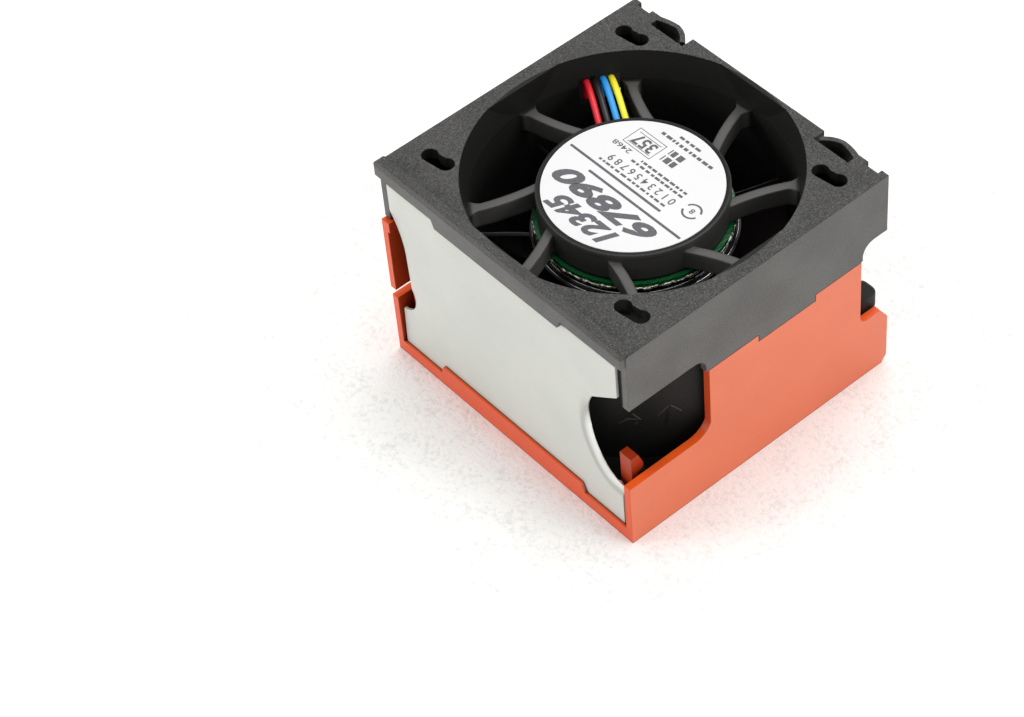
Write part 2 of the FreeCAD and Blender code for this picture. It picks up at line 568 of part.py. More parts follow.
def carrier():
    """Orange moulding: intake base, side walls with their tabs, front lip, rear wall and clips."""
    body = new_body("carrier")
    wide = S.case_half_width
    front = cover_back - 0.1
    prism(body, "XY", 0, S.base_thick, [rectangle(-skirt_inner, skirt_inner, -front, S.case_rear)])
    prism(body, "XY", 0, S.cover_low - 0.1, [rectangle(-skirt_inner, skirt_inner, -S.front_face, -front)])
    lip_back = S.cover_face + 0.1
    prism(body, "XZ", -S.front_face, -lip_back, [[
        (-skirt_inner, 0), (skirt_inner, 0), (skirt_inner, S.lip_end), (S.lip_half, S.lip_end),
        (S.lip_half - 0.8, S.lip_middle), (0.8 - S.lip_half, S.lip_middle),
        (-S.lip_half, S.lip_end), (-skirt_inner, S.lip_end)]])
    # side walls: low at the ends, with a tall tab that meets the skirt's stepped edge
    gap = S.part_gap
    cut = S.corner_cut
    rear_round = S.tab_rear_round
    for low, high, run, rise in ((skirt_inner, wide, S.tab_foot_run, S.tab_foot_rise),
                                 (-wide, -skirt_inner, as_size(1.5), 1.5)):
        prism(body, "YZ", low, high, [[
            (-S.front_face, 0), (S.case_rear - 1.5, 0), (S.case_rear, 1.5),
            (S.case_rear, S.low_wall - cut * 1.4), (S.case_rear - cut, S.low_wall),
            (S.tab_rear + rear_round, S.low_wall, rear_round, -1), (S.tab_rear, S.low_wall + rear_round),
            (S.tab_rear, skirt_low - gap), (S.tongue_rear + gap, skirt_low - gap),
            (S.tongue_rear + gap, tongue_low - gap), (-S.tongue_front - gap, tongue_low - gap),
            (-S.tongue_front - gap, skirt_low - gap), (-S.tab_front, skirt_low - gap),
            (-S.tab_front, S.low_wall + rise, run + 0.2, -1), (-S.tab_front - run, S.low_wall),
            (-S.front_face, S.low_wall)]])
    # rear wall: lower in the middle, taller at one end, where a window holds the plug
    middle = duct_radius * 0.6
    wall_low, wall_high = S.case_rear - S.rear_wall, S.case_rear
    end_top = S.low_wall - cut * 1.4
    plug_frame = S.plug_high + S.frame_edge
    frame_end = S.plug_inner_x - S.frame_edge
    prism(body, "XZ", wall_low, wall_high, [[
        (-skirt_inner, 1.5), (skirt_inner, 1.5), (skirt_inner, end_top), (middle + 3, end_top),
        (middle, S.low_wall / 2), (-middle, S.low_wall / 2), (-middle - 0.5, end_top),
        (-frame_end, end_top + 2), (-frame_end, plug_frame), (-skirt_inner, plug_frame)]])
    prism(body, "XZ", wall_low - 1, wall_high + 1, [rectangle(
        -S.plug_outer_x - 0.05, -S.plug_inner_x + 0.05, S.plug_low - 0.05, S.plug_high + 0.05)], cut=True)
    # intake opening, flared towards the floor
    turned(body, [(0, -1), (S.intake_mouth / 2, -1), (S.intake_mouth / 2, 0),
                  (duct_radius, S.base_thick), (duct_radius, S.base_thick + 1),
                  (0, S.base_thick + 1)], cut=True)
    # clips whose barbs hold the lugs of the fan housing
    seat = S.lug_face + gap
    back = seat + S.clip_thick
    over = seat - S.clip_barb
    ledge = S.clip_seat + 0.1
    clip = [(seat, S.base_thick - 0.5), (back, S.base_thick - 0.5), (back, S.clip_height),
            (seat - 0.3, S.clip_height), (over, ledge + 1.9), (over, ledge + 0.7), (seat, ledge)]
    for x in (S.clip_reach, -S.clip_reach):
        low, high = x - S.clip_width / 2, x + S.clip_width / 2
        prism(body, "YZ", low, high, [clip])
        prism(body, "YZ", low, high, [[(-y, z) for y, z in clip]])


def release_arm():
    """Orange latch arm at the left side; it swings inwards about its rounded root at the side tab."""
    body = new_body("release_arm")
    half = S.arm_thick / 2
    root = S.tab_front + S.arm_gap + half
    low, high = -S.case_half_width, S.arm_thick - S.case_half_width
    root_top = skirt_low - S.arm_clear
    shoulder = opening_front + S.opening_round + S.arm_clear
    prism(body, "YZ", low, high, [[
        (-S.arm_front, S.arm_low), (-root, S.arm_low), (-root, root_top),
        (-root - 0.6, root_top), (-shoulder, S.arm_top), (-S.arm_front, S.arm_top)]])
    prism(body, "XY", S.arm_low, root_top, rings=[(half, low + half, -root)])
    # rolled grip along the free end's upper corner
    prism(body, "YZ", high - 0.1, high + S.grip_reach, [rectangle(
        -S.arm_front, S.grip_length - S.arm_front, S.arm_top - S.grip_height, S.arm_top)])


def cover_plate():
    """Light grey sheet-metal plate with a finger notch at one end and a thumb cut-out at the other."""
    body = new_body("cover_plate")
    half = S.cover_half
    tongue = S.cover_tongue
    prism(body, "XZ", -S.cover_face, -cover_back, [[
        (-half, S.cover_low), (half, S.cover_low), (half, S.notch_low),
        (half - S.notch_lip, S.notch_sill, 15, -1), (half - S.notch_depth, S.notch_deepest, 8, -1),
        (half - S.notch_bend, S.notch_bend_level), (half - 0.2, S.notch_high),
        (half, S.cover_top), (tongue, S.cover_top), (tongue, rim_low - 0.1), (-tongue, rim_low - 0.1),
        (-tongue, S.cover_top), (-half, S.cover_top), (-half, S.thumb_high, 18, -1),
        (S.thumb_depth - 0.4 - half, S.thumb_head), (S.thumb_depth - half, S.thumb_foot, 5, -1),
        (0.4 - half, S.thumb_low)]])


def hub_label():
    body = new_body("hub_label")
    prism(body, "XY", hub_top, hub_top + S.label_thick, rings=[(S.label_radius,)])


def circuit_board():
    """Round board under the motor base, with the boss through its middle."""
    body = new_body("circuit_board")
    prism(body, "XY", board_low, board_high, rings=[(S.board_radius,), (S.boss_outer / 2 + 0.1,)])


def board_components():
    """Driver chips and the rotor sensor under the board, capacitors on top of it."""
    chips = new_body("board_chips")
    prism(chips, "XY", board_low - 1, board_low, [
        rectangle(8.5, 12.5, -3, 3), rectangle(-13, -8.5, -9.5, -4.5), rectangle(-3, 2, 9, 12.5)])
    capacitors = new_body("board_capacitors")
    prism(capacitors, "XY", board_high, hub_ceiling - 0.4, rings=[(as_size(2.5), 11, 3.5)])
    prism(capacitors, "XY", board_high, board_high + 1.4, [
        rectangle(7, 10.2, -10.5, -8.9), rectangle(1, 4.2, -12.5, -10.9),
        rectangle(-5.5, -2.3, -12.5, -10.9)])


def stator():
    """Lamination stack with its poles, the insulator with its pins, and the windings."""
    bore = S.boss_outer / 2
    hoop = bore + S.core_ring
    tip = S.core_radius - S.pole_tip
    stem = S.pole_stem / 2
    arc = as_size(180) / S.core_poles * 0.75
    core = new_body("stator_core")
    prism(core, "XY", S.core_low, S.core_high, rings=[(bore,), (hoop,)])
    pole = prism(core, "XY", S.core_low, S.core_high, [[
        (hoop - 0.3, -stem), (tip, -stem), (tip * cos(arc), -tip * sin(arc)),
        (S.core_radius * cos(arc), -S.core_radius * sin(arc), S.core_radius, 1),
        (S.core_radius * cos(arc), S.core_radius * sin(arc)),
        (tip * cos(arc), tip * sin(arc)), (tip, stem), (hoop - 0.3, stem)]])
    polar(core, [pole], S.core_poles)
    insulator = new_body("stator_insulator")
    for low, high in ((S.core_low - S.coil_swell, S.core_low), (S.core_high, S.core_high + S.coil_swell)):
        prism(insulator, "XY", low, high, rings=[(bore,), (hoop,)])
    pin = prism(insulator, "XY", S.core_high, board_low, [rectangle(bore, hoop, -0.5, 0.5)])
    polar(insulator, [pin], S.core_poles / 2)
    windings = new_body("windings")
    coil = prism(windings, "XY", S.core_low - S.coil_swell, S.core_high + S.coil_swell,
                 [rectangle(hoop + 0.1, tip * cos(arc) - 0.1, -stem - S.coil_swell, stem + S.coil_swell)])
    polar(windings, [coil], S.core_poles)
    core_space = prism(windings, "XY", S.core_low, S.core_high,
                       [rectangle(hoop - 0.3, tip, -stem, stem)], cut=True)
    polar(windings, [core_space], S.core_poles)


def ring_body(label, inner, outer, low, high):
    """A plain ring about the fan axis."""
    body = new_body(label)
    prism(body, "XY", low, high, rings=[(inner,), (outer,)])
    return body


def bearings():
    """Sleeve of the boss and two shielded ball bearings, whose balls the shields cover."""
    ring_body("bearing_sleeve", S.sleeve_bore / 2, S.sleeve_outer / 2, S.lower_bearing - 1, hub_ceiling - 1)
    outer = S.bearing_od / 2
    outer_bore = outer - S.ring_wall
    inner_bore = S.bearing_bore / 2 + S.shaft_clear
    inner = inner_bore + S.ring_wall
    for name, low in (("upper", S.upper_bearing), ("lower", S.lower_bearing)):
        high = low + S.bearing_width
        ring_body("%s_bearing_outer_ring" % name, outer_bore, outer, low, high)
        ring_body("%s_bearing_inner_ring" % name, inner_bore, inner, low, high)
        shields = new_body("%s_bearing_shields" % name)
        for foot in (low + 0.1, high - S.shield_thick - 0.1):
            prism(shields, "XY", foot, foot + S.shield_thick,
                  rings=[(inner + S.shield_gap,), (outer_bore,)])


def rotor():
    """Shaft with its clip and spring, steel cup, magnet ring and impeller."""
    shaft_radius = S.shaft_size / 2
    groove_low = S.upper_bearing + S.bearing_width + 0.05
    groove_high = groove_low + S.clip_ring
    neck = shaft_radius - 0.3
    end = groove_high + 0.5
    shaft = new_body("shaft")
    turned(shaft, [(0, S.yoke_low), (shaft_radius, S.yoke_low), (shaft_radius, groove_low),
                   (neck, groove_low), (neck, groove_high), (shaft_radius, groove_high),
                   (shaft_radius, end - 0.2), (shaft_radius - 0.2, end), (0, end)])
    clip = new_body("shaft_clip")
    prism(clip, "XY", groove_low, groove_high, rings=[(neck,), (shaft_radius + 0.9,)])
    prism(clip, "XY", groove_low - 1, groove_high + 1,
          [rectangle(0, shaft_radius + 2, -neck * 0.8, neck * 0.8)], cut=True)
    # steel cup with the bush that the shaft is pressed into
    yoke_inner = S.yoke_radius - S.yoke_wall
    floor = S.yoke_low + S.yoke_wall
    bush_top = S.lower_bearing - S.spring_height
    yoke = new_body("rotor_yoke")
    turned(yoke, [(shaft_radius, S.yoke_low), (S.yoke_radius, S.yoke_low), (S.yoke_radius, S.yoke_high),
                  (yoke_inner, S.yoke_high), (yoke_inner, floor), (shaft_radius + 1.7, floor),
                  (shaft_radius + 1.7, bush_top), (shaft_radius, bush_top)])
    ring_body("magnet_ring", yoke_inner - S.magnet_thick, yoke_inner, S.magnet_low, S.magnet_high)
    # cone-shaped spring washer between the bush and the lower bearing's inner ring
    spring = new_body("preload_spring")
    rise = S.spring_height - S.spring_sheet
    near = shaft_radius + 0.12
    turned(spring, [(near, bush_top + rise), (S.spring_rim, bush_top),
                    (S.spring_rim, bush_top + S.spring_sheet), (near, bush_top + S.spring_height)])
    # impeller: solid drum and lofted blades first, then hollowed and trimmed at the tips
    impeller = new_body("impeller")
    nose = S.rotor_bevel
    turned(impeller, [(0, S.rotor_low), (S.rotor_radius - nose, S.rotor_low),
                      (S.rotor_radius, S.rotor_low + nose), (S.rotor_radius, S.rotor_high),
                      (0, S.rotor_high)])
    blade = impeller.newObject("PartDesign::AdditiveLoft", "blade")
    sections = []
    for station, half_chord, bow, back in BLADE_STATIONS:
        sketch = new_sketch(impeller, "YZ", S.rotor_radius * station)
        half = as_size(half_chord)
        edge = S.blade_thick / 2
        outline(sketch, [
            (back - half, S.blade_low, as_size(bow), 1), (back + half, S.blade_high - edge),
            (back + half - edge, S.blade_high, as_size(bow + 3), -1),
            (back - half - edge, S.blade_low + edge)])
        sections.append(sketch)
    blade.Profile = sections[0]
    blade.Sections = [(sketch, [""]) for sketch in sections[1:]]
    polar(impeller, [blade], S.blades)
    turned(impeller, [(0, S.yoke_low), (S.yoke_radius, S.yoke_low), (S.yoke_radius, S.rotor_high + 1),
                      (0, S.rotor_high + 1)], cut=True)
    tip = duct_radius - S.tip_gap
    turned(impeller, [(tip, S.rotor_low - 2), (tip * 1.5, S.rotor_low - 2), (tip * 1.5, S.rotor_high + 2),
                      (tip, S.rotor_high + 2)], cut=True)
    # merging the drum's faces with the blades' spoils their shell
    for feature in impeller.Group:
        if "Refine" in feature.PropertiesList:
            feature.Refine = False


# Sections of a blade: distance from the axis as a share of the impeller hub's radius, half the
# chord across the axis, radius of the camber, and how far the section leans back.
BLADE_STATIONS = ((0.82, 7.4, 34, 0.0), (1.05, 8.6, 40, 0.0), (1.32, 10.6, 50, 0.0), (1.62, 12.6, 62, 0.0))


def rounded_path(points, radii):
    """A wire of straight runs joined by tangent arcs, with its length."""
    edges = []
    start = points[0]
    length = 0.0
    for index, radius in enumerate(radii, start=1):
        corner = points[index]
        back = (points[index - 1] - corner).normalize()
        ahead = (points[index + 1] - corner).normalize()
        turn = math.pi - back.getAngle(ahead)
        reach = radius * math.tan(turn / 2)
        first, last = corner + back * reach, corner + ahead * reach
        bisector = (back + ahead).normalize()
        centre = corner + bisector * (radius / math.cos(turn / 2))
        middle = centre - bisector * radius
        edges.append(Part.LineSegment(start, first).toShape())
        edges.append(Part.Arc(first, middle, last).toShape())
        length += (first - start).Length + radius * turn
        start = last
    edges.append(Part.LineSegment(start, points[-1]).toShape())
    length += (points[-1] - start).Length
    return Part.Wire(edges), length


def wires():
    """Four leads from the board, across the duct, down its outside and into the plug."""
    radius = S.wire_size.value / 2
    drop = drop_floor.value + radius + 0.05
    for name, exit_angle, drop_angle, rank in WIRES:
        inner = FreeCAD.Vector(math.cos(math.radians(exit_angle)), math.sin(math.radians(exit_angle)), 0)
        outer = FreeCAD.Vector(math.cos(math.radians(drop_angle)), math.sin(math.radians(drop_angle)), 0)
        leave = inner * S.hub_radius.value
        arrive = outer * drop
        run = (arrive - leave).normalize()
        begin = leave - run * (S.hub_radius - S.wire_start).value
        crest = leave + run * ((arrive - leave).Length * 0.55)
        low = S.plug_low.value + 1.4 + rank * 1.55
        level = FreeCAD.Vector(0, 0, 1)
        bottom = arrive + level * low
        points = [begin + level * board_high.value, begin + level * S.wire_level.value,
                  leave + run * 1.2 + level * S.wire_level.value, crest + level * S.wire_crest.value,
                  arrive + level * (S.wire_crest.value - 1.1), bottom,
                  FreeCAD.Vector(arrive.x, S.plug_front.value, low)]
        path, length = rounded_path(points, (2.5, 9.0, 9.0, 2.2, 5.0))
        section = Part.makePolygon([points[0] + inner_turn * radius for inner_turn in EIGHT_SIDES])
        pipe = path.makePipeShell([section], True, False)
        if pipe.Volume < 0:
            pipe.reverse()
        lead = made_part("wire_" + name, pipe)
        expected = 2 * math.sqrt(2) * radius * radius * length
        if abs(lead.Shape.Volume - expected) > 0.02 * expected:
            raise ValueError("wire %s: volume %.2f, expected %.2f" % (name, lead.Shape.Volume, expected))


# Corners of the wires' eight-sided section.
EIGHT_SIDES = [FreeCAD.Vector(math.cos(math.pi / 4 * side), math.sin(math.pi / 4 * side), 0)
               for side in (0, 1, 2, 3, 4, 5, 6, 7, 0)]

# Colour, angle at the motor base, angle at the duct, and place from the bottom of the plug.
WIRES = (("red", 157.5, 154.6, 0), ("black", 152.0, 151.7, 1),
         ("blue", 146.3, 148.8, 2), ("yellow", 141.0, 145.9, 3))


def plug():
    """Connector held in the rear wall's window, and its four pins."""
    body = new_body("connector_housing")
    wall = S.plug_wall
    bottom = S.plug_front + wall * 1.6
    middle = (S.plug_low + S.plug_high) / 2
    prism(body, "XZ", S.plug_front, S.plug_rear,
          [rectangle(-S.plug_outer_x, -S.plug_inner_x, S.plug_low, S.plug_high)])
    prism(body, "XZ", bottom, S.plug_rear + 1, [rectangle(
        wall - S.plug_outer_x, -S.plug_inner_x - wall, S.plug_low + wall, S.plug_high - wall)], cut=True)
    contacts = new_body("connector_contacts")
    centre = -(S.plug_outer_x + S.plug_inner_x) / 2
    half = S.pin_size / 2
    prism(contacts, "XZ", bottom, S.plug_rear - 0.5, [
        rectangle(centre + S.pin_pitch * step - half, centre + S.pin_pitch * step + half,
                  middle - half, middle + half) for step in (-1.5, -0.5, 0.5, 1.5)])


for build in (fan_housing, carrier, release_arm, cover_plate, hub_label, circuit_board, board_components,
              stator, bearings, rotor, wires, plug):
    build()
doc.recompute()

faults = ["%s %s" % (item.Label, item.State) for item in doc.Objects
          if "Invalid" in item.State or "Error" in item.State]
for node in NODES:
    if node.Shape.isNull() or not node.Shape.isValid() or not node.Shape.Solids:
        faults.append("%s has no valid solid" % node.Label)
if faults:
    raise ValueError("; ".join(faults))

os.makedirs("parts", exist_ok=True)
for node in NODES:
    node.Shape.exportStep(os.path.join("parts", node.Label + ".step"))
    print("%-26s %2d solids %10.1f mm3" % (node.Label, len(node.Shape.Solids), node.Shape.Volume))
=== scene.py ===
import json
import math
from functools import partial

import bmesh
import bpy
import numpy as np
from bpy.props import FloatProperty, FloatVectorProperty, IntProperty, PointerProperty
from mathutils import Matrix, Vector


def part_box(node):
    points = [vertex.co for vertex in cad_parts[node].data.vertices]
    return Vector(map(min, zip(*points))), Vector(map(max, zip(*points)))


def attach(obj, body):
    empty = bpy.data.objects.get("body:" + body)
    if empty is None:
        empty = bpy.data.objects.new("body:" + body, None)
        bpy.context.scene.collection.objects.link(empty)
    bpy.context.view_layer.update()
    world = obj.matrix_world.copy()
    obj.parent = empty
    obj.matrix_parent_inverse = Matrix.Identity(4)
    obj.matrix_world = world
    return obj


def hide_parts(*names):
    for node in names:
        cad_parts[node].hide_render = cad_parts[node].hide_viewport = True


bl_info = {
    "name": "Server fan module",
    "version": (1, 0, 0),
    "blender": (4, 5, 0),
    "location": "3D View > Sidebar > Fan module",
    "description": "Dresses a hot-swap server fan module in its finishes and small details",
    "category": "Object",
}

# Frame: metres, +Z up along the fan axis, -Y towards the cover plate, +X the stepped skirt's side.
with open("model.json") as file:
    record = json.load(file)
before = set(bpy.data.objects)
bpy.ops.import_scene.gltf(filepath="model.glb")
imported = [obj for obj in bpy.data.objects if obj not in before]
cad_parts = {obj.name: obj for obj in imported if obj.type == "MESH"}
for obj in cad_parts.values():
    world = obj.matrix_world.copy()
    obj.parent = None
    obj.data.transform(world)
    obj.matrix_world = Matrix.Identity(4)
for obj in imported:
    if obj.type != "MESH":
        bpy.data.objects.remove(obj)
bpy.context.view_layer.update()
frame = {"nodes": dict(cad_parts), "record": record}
NODES = frame["nodes"]
MM = 0.001


def node_span(node, axis):
    """Lowest and highest place of a CAD node along an axis, in millimetres."""
    low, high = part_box(node)
    return low[axis] / MM, high[axis] / MM


HUB_TOP = node_span("hub_label", 2)[0]
LABEL_TOP = node_span("hub_label", 2)[1]
LABEL_RADIUS = node_span("hub_label", 0)[1]
BOARD_RADIUS = node_span("circuit_board", 0)[1]
BOARD_LOW, BOARD_HIGH = node_span("circuit_board", 2)
PLATE_FACE = node_span("cover_plate", 1)[0]
PLATE_HALF = node_span("cover_plate", 0)[1]
PLATE_LOW, PLATE_HIGH = node_span("cover_plate", 2)
YOKE_RADIUS = node_span("rotor_yoke", 0)[1]
YOKE_TOP = node_span("rotor_yoke", 2)[1]
PLUG_FRONT = node_span("connector_housing", 1)[0]
PLUG_LOW = node_span("connector_housing", 2)[0]
# Levels that no node's box gives: the exhaust face below its rim, and the impeller hub's edge.
EXHAUST_FACE = 49.4
ROTOR_TOP = 35.0
SMOOTH_ANGLE = math.radians(35)


def linear(colour):
    """Linear RGB of an sRGB hex colour."""
    parts = [int(colour[place:place + 2], 16) / 255 for place in (1, 3, 5)]
    return tuple(part / 12.92 if part <= 0.04045 else ((part + 0.055) / 1.055) ** 2.4 for part in parts)


class StageSettings(bpy.types.PropertyGroup):
    """Camera, surroundings and floor"""
    camera_place: FloatVectorProperty(
        name="Camera place", description="Where the camera stands", subtype="XYZ", unit="LENGTH",
        default=(0.29976, -0.25056, 0.43041))
    camera_turn: FloatVectorProperty(
        name="Camera turn", description="How the camera is turned", subtype="EULER", unit="ROTATION",
        default=(math.radians(42.15), math.radians(3.94), math.radians(49.43)))
    lens: FloatProperty(
        name="Lens", description="Focal length on a sensor 36 mm wide", default=106.467, min=1)
    daylight: FloatProperty(
        name="Surroundings", description="Strength of the white surroundings", default=0.70, min=0)
    floor_colour: FloatVectorProperty(
        name="Floor", description="Colour of the foam sheet", subtype="COLOR", default=linear("#FAFAF8"))


class FinishSettings(bpy.types.PropertyGroup):
    """Colours and textures of the materials"""
    housing: FloatVectorProperty(
        name="Housing", description="Black glass-filled plastic", subtype="COLOR", default=linear("#504F4D"))
    orange: FloatVectorProperty(
        name="Carrier", description="Orange ABS", subtype="COLOR", default=linear("#DB6638"))
    plate: FloatVectorProperty(
        name="Cover plate", description="Painted sheet steel", subtype="COLOR", default=linear("#C4C5BE"))
    impeller: FloatVectorProperty(
        name="Impeller", description="Black PBT", subtype="COLOR", default=linear("#1B1615"))
    label: FloatVectorProperty(
        name="Label", description="White polyester film", subtype="COLOR", default=linear("#DADADA"))
    ink: FloatVectorProperty(
        name="Print", description="Ink on the label", subtype="COLOR", default=linear("#55555A"))
    board: FloatVectorProperty(
        name="Circuit board", description="Solder mask", subtype="COLOR", default=linear("#0B6A36"))
    edge_round: FloatProperty(
        name="Edge rounding", description="Rounding of the mouldings' edges", unit="LENGTH",
        default=0.18 * MM, min=0)
    grain: FloatProperty(
        name="Spark texture", description="Size of a grain of the eroded texture", unit="LENGTH",
        default=0.28 * MM, min=0.05 * MM)


class PieceSettings(bpy.types.PropertyGroup):
    """Sizes of the pieces that the scene adds"""
    lip_width: FloatProperty(
        name="Notch lip", description="Width of the rolled edge of the finger notch", unit="LENGTH",
        default=2.2 * MM, min=0)
    lip_roll: FloatProperty(
        name="Lip roll", description="How far the rolled edge turns back", unit="LENGTH",
        default=1.1 * MM, min=0)
    lead_size: FloatProperty(
        name="Lead", description="A lead over its insulation", unit="LENGTH", default=1.25 * MM, min=0.1 * MM)
    rim_width: FloatProperty(
        name="Motor base rim", description="Width of the rim round the label", unit="LENGTH",
        default=0.85 * MM, min=0)
    arrow_rise: FloatProperty(
        name="Arrow relief", description="Height of the arrows on the duct", unit="LENGTH",
        default=0.16 * MM, min=0)
    around: IntProperty(
        name="Steps round", description="Steps of a ring about the fan axis", default=256, min=32)


# Meshes

def grid_faces(rows, columns, loop_rows, loop_columns):
    """Quads between the points of a grid; a looped direction joins its last line to its first."""
    row = np.arange(rows if loop_rows else rows - 1)
    column = np.arange(columns if loop_columns else columns - 1)
    row, column = np.meshgrid(row, column, indexing="ij")
    next_row, next_column = (row + 1) % rows, (column + 1) % columns
    corners = (row * columns + column, next_row * columns + column,
               next_row * columns + next_column, row * columns + next_column)
    return np.stack([corner.ravel() for corner in corners], axis=1)


def piece_from_grids(name, body, material, grids, loop_rows=False, loop_columns=False, cap=False):
    """One piece from grids of points in millimetres; cap closes the first and last row of each grid."""
    points, faces, start = [], [], 0
    for grid in grids:
        rows, columns = grid.shape[:2]
        points.append(grid.reshape(-1, 3))
        faces += (grid_faces(rows, columns, loop_rows, loop_columns) + start).tolist()
        if cap:
            faces.append((np.arange(columns)[::-1] + start).tolist())
            faces.append((np.arange(columns) + (rows - 1) * columns + start).tolist())
        start += rows * columns
    mesh = bpy.data.meshes.new(name)
    mesh.from_pydata((np.concatenate(points) * MM).tolist(), [], faces)
    return finish_piece(name, body, material, mesh)


def finish_piece(name, body, material, mesh):
    """Turn the faces outwards, shade them smoothly and let the piece ride on its body."""
    edit = bmesh.new()
    edit.from_mesh(mesh)
    bmesh.ops.recalc_face_normals(edit, faces=edit.faces)
    edit.to_mesh(mesh)
    edit.free()
    mesh.validate()
    mesh.set_sharp_from_angle(angle=SMOOTH_ANGLE)
    mesh.materials.append(material)
    piece = bpy.data.objects.new(name, mesh)
    bpy.context.scene.collection.objects.link(piece)
    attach(piece, body)
    return piece


def turned_profile(profile, steps):
    """Grid of a closed profile of (radius, height) turned about the fan axis."""
    radius, height = np.array(profile, float).T
    angle = np.linspace(0, 2 * np.pi, steps, endpoint=False)[:, None]
    return np.stack([radius * np.cos(angle), radius * np.sin(angle), height + 0 * angle], axis=2)


def spline(points, count):
    """Quadratic B-spline through a clamped list of control points, as an array of points."""
    points = np.array(points, float)
    points = np.concatenate([points[:1], points, points[-1:]])
    place = np.linspace(0, len(points) - 2, count, endpoint=False)
    place = np.append(place, len(points) - 2 - 1e-9)
    first = place.astype(int)
    t = (place - first)[:, None]
    a, b, c = points[first], points[first + 1], points[np.minimum(first + 2, len(points) - 1)]
    return 0.5 * ((1 - t) ** 2 * a + (1 + 2 * t - 2 * t * t) * b + t * t * c)


# A direction that no lead runs along, to start a tube's circles from.
ASIDE = (0.31, 0.95, 0.05)


def tube(path, radius, sides):
    """Grid of a tube: circles about each point of the path, square to its direction."""
    along = np.gradient(path, axis=0)
    along /= np.linalg.norm(along, axis=1)[:, None]
    rest = np.cross(along, ASIDE)
    rest /= np.linalg.norm(rest, axis=1)[:, None]
    third = np.cross(along, rest)
    angle = np.linspace(0, 2 * np.pi, sides, endpoint=False)[None, :, None]
    return path[:, None] + radius * (np.cos(angle) * rest[:, None] + np.sin(angle) * third[:, None])


def wave(angle, terms):
    """Sum of sines of (turns, height, shift), for an uneven hand-made edge."""
    return sum(height * np.sin(turns * angle + shift) for turns, height, shift in terms)


# Materials

NOISE, RANGE, MIX = "ShaderNodeTexNoise", "ShaderNodeMapRange", "ShaderNodeMix"
MATHS, BUMP, BEVEL = "ShaderNodeMath", "ShaderNodeBump", "ShaderNodeBevel"
PLACE, SPLIT, SHADE_OCCLUSION = "ShaderNodeTexCoord", "ShaderNodeSeparateXYZ", "ShaderNodeAmbientOcclusion"
WAVES, TURN = "ShaderNodeTexWave", "ShaderNodeMapping"
SURFACE, OUTPUT = "ShaderNodeBsdfPrincipled", "ShaderNodeOutputMaterial"
EDGE_SAMPLES = 6
SKIRT_SIDE = 32.2
SKIRT_FRONT = -32.4
DUCT_WALL = 30.0
HUB_WALL = 17.7


def add_node(tree, kind, inputs=(), output=0, **settings):
    """Add a node with its settings and links, and return one of its outputs.
    The inputs are a list in the order of the sockets, or a dictionary by a socket's name or number.
    Each is a value, or an output to link."""
    node = tree.nodes.new(kind)
    for name, value in settings.items():
        setattr(node, name, value)
    for name, value in inputs.items() if isinstance(inputs, dict) else enumerate(inputs):
        socket = node.inputs[name]
        if isinstance(value, bpy.types.NodeSocket):
            tree.links.new(value, socket)
        elif socket.type == "RGBA":
            socket.default_value = (*value, 1)
        else:
            socket.default_value = value
    return node.outputs[output] if node.outputs else None


def new_material(name):
    """An empty material, and add_node for its tree."""
    material = bpy.data.materials.new(name)
    material.use_nodes = True
    material.node_tree.nodes.clear()
    return material, partial(add_node, material.node_tree)


def tint(colour, *shares):
    """A colour times one share, or times one each for red, green and blue."""
    return tuple(part * share for part, share in zip(colour, shares * (3 // len(shares))))


def scale_of(size_mm):
    """Scale of a pattern whose lumps are size_mm across."""
    return 1 / (size_mm * MM)


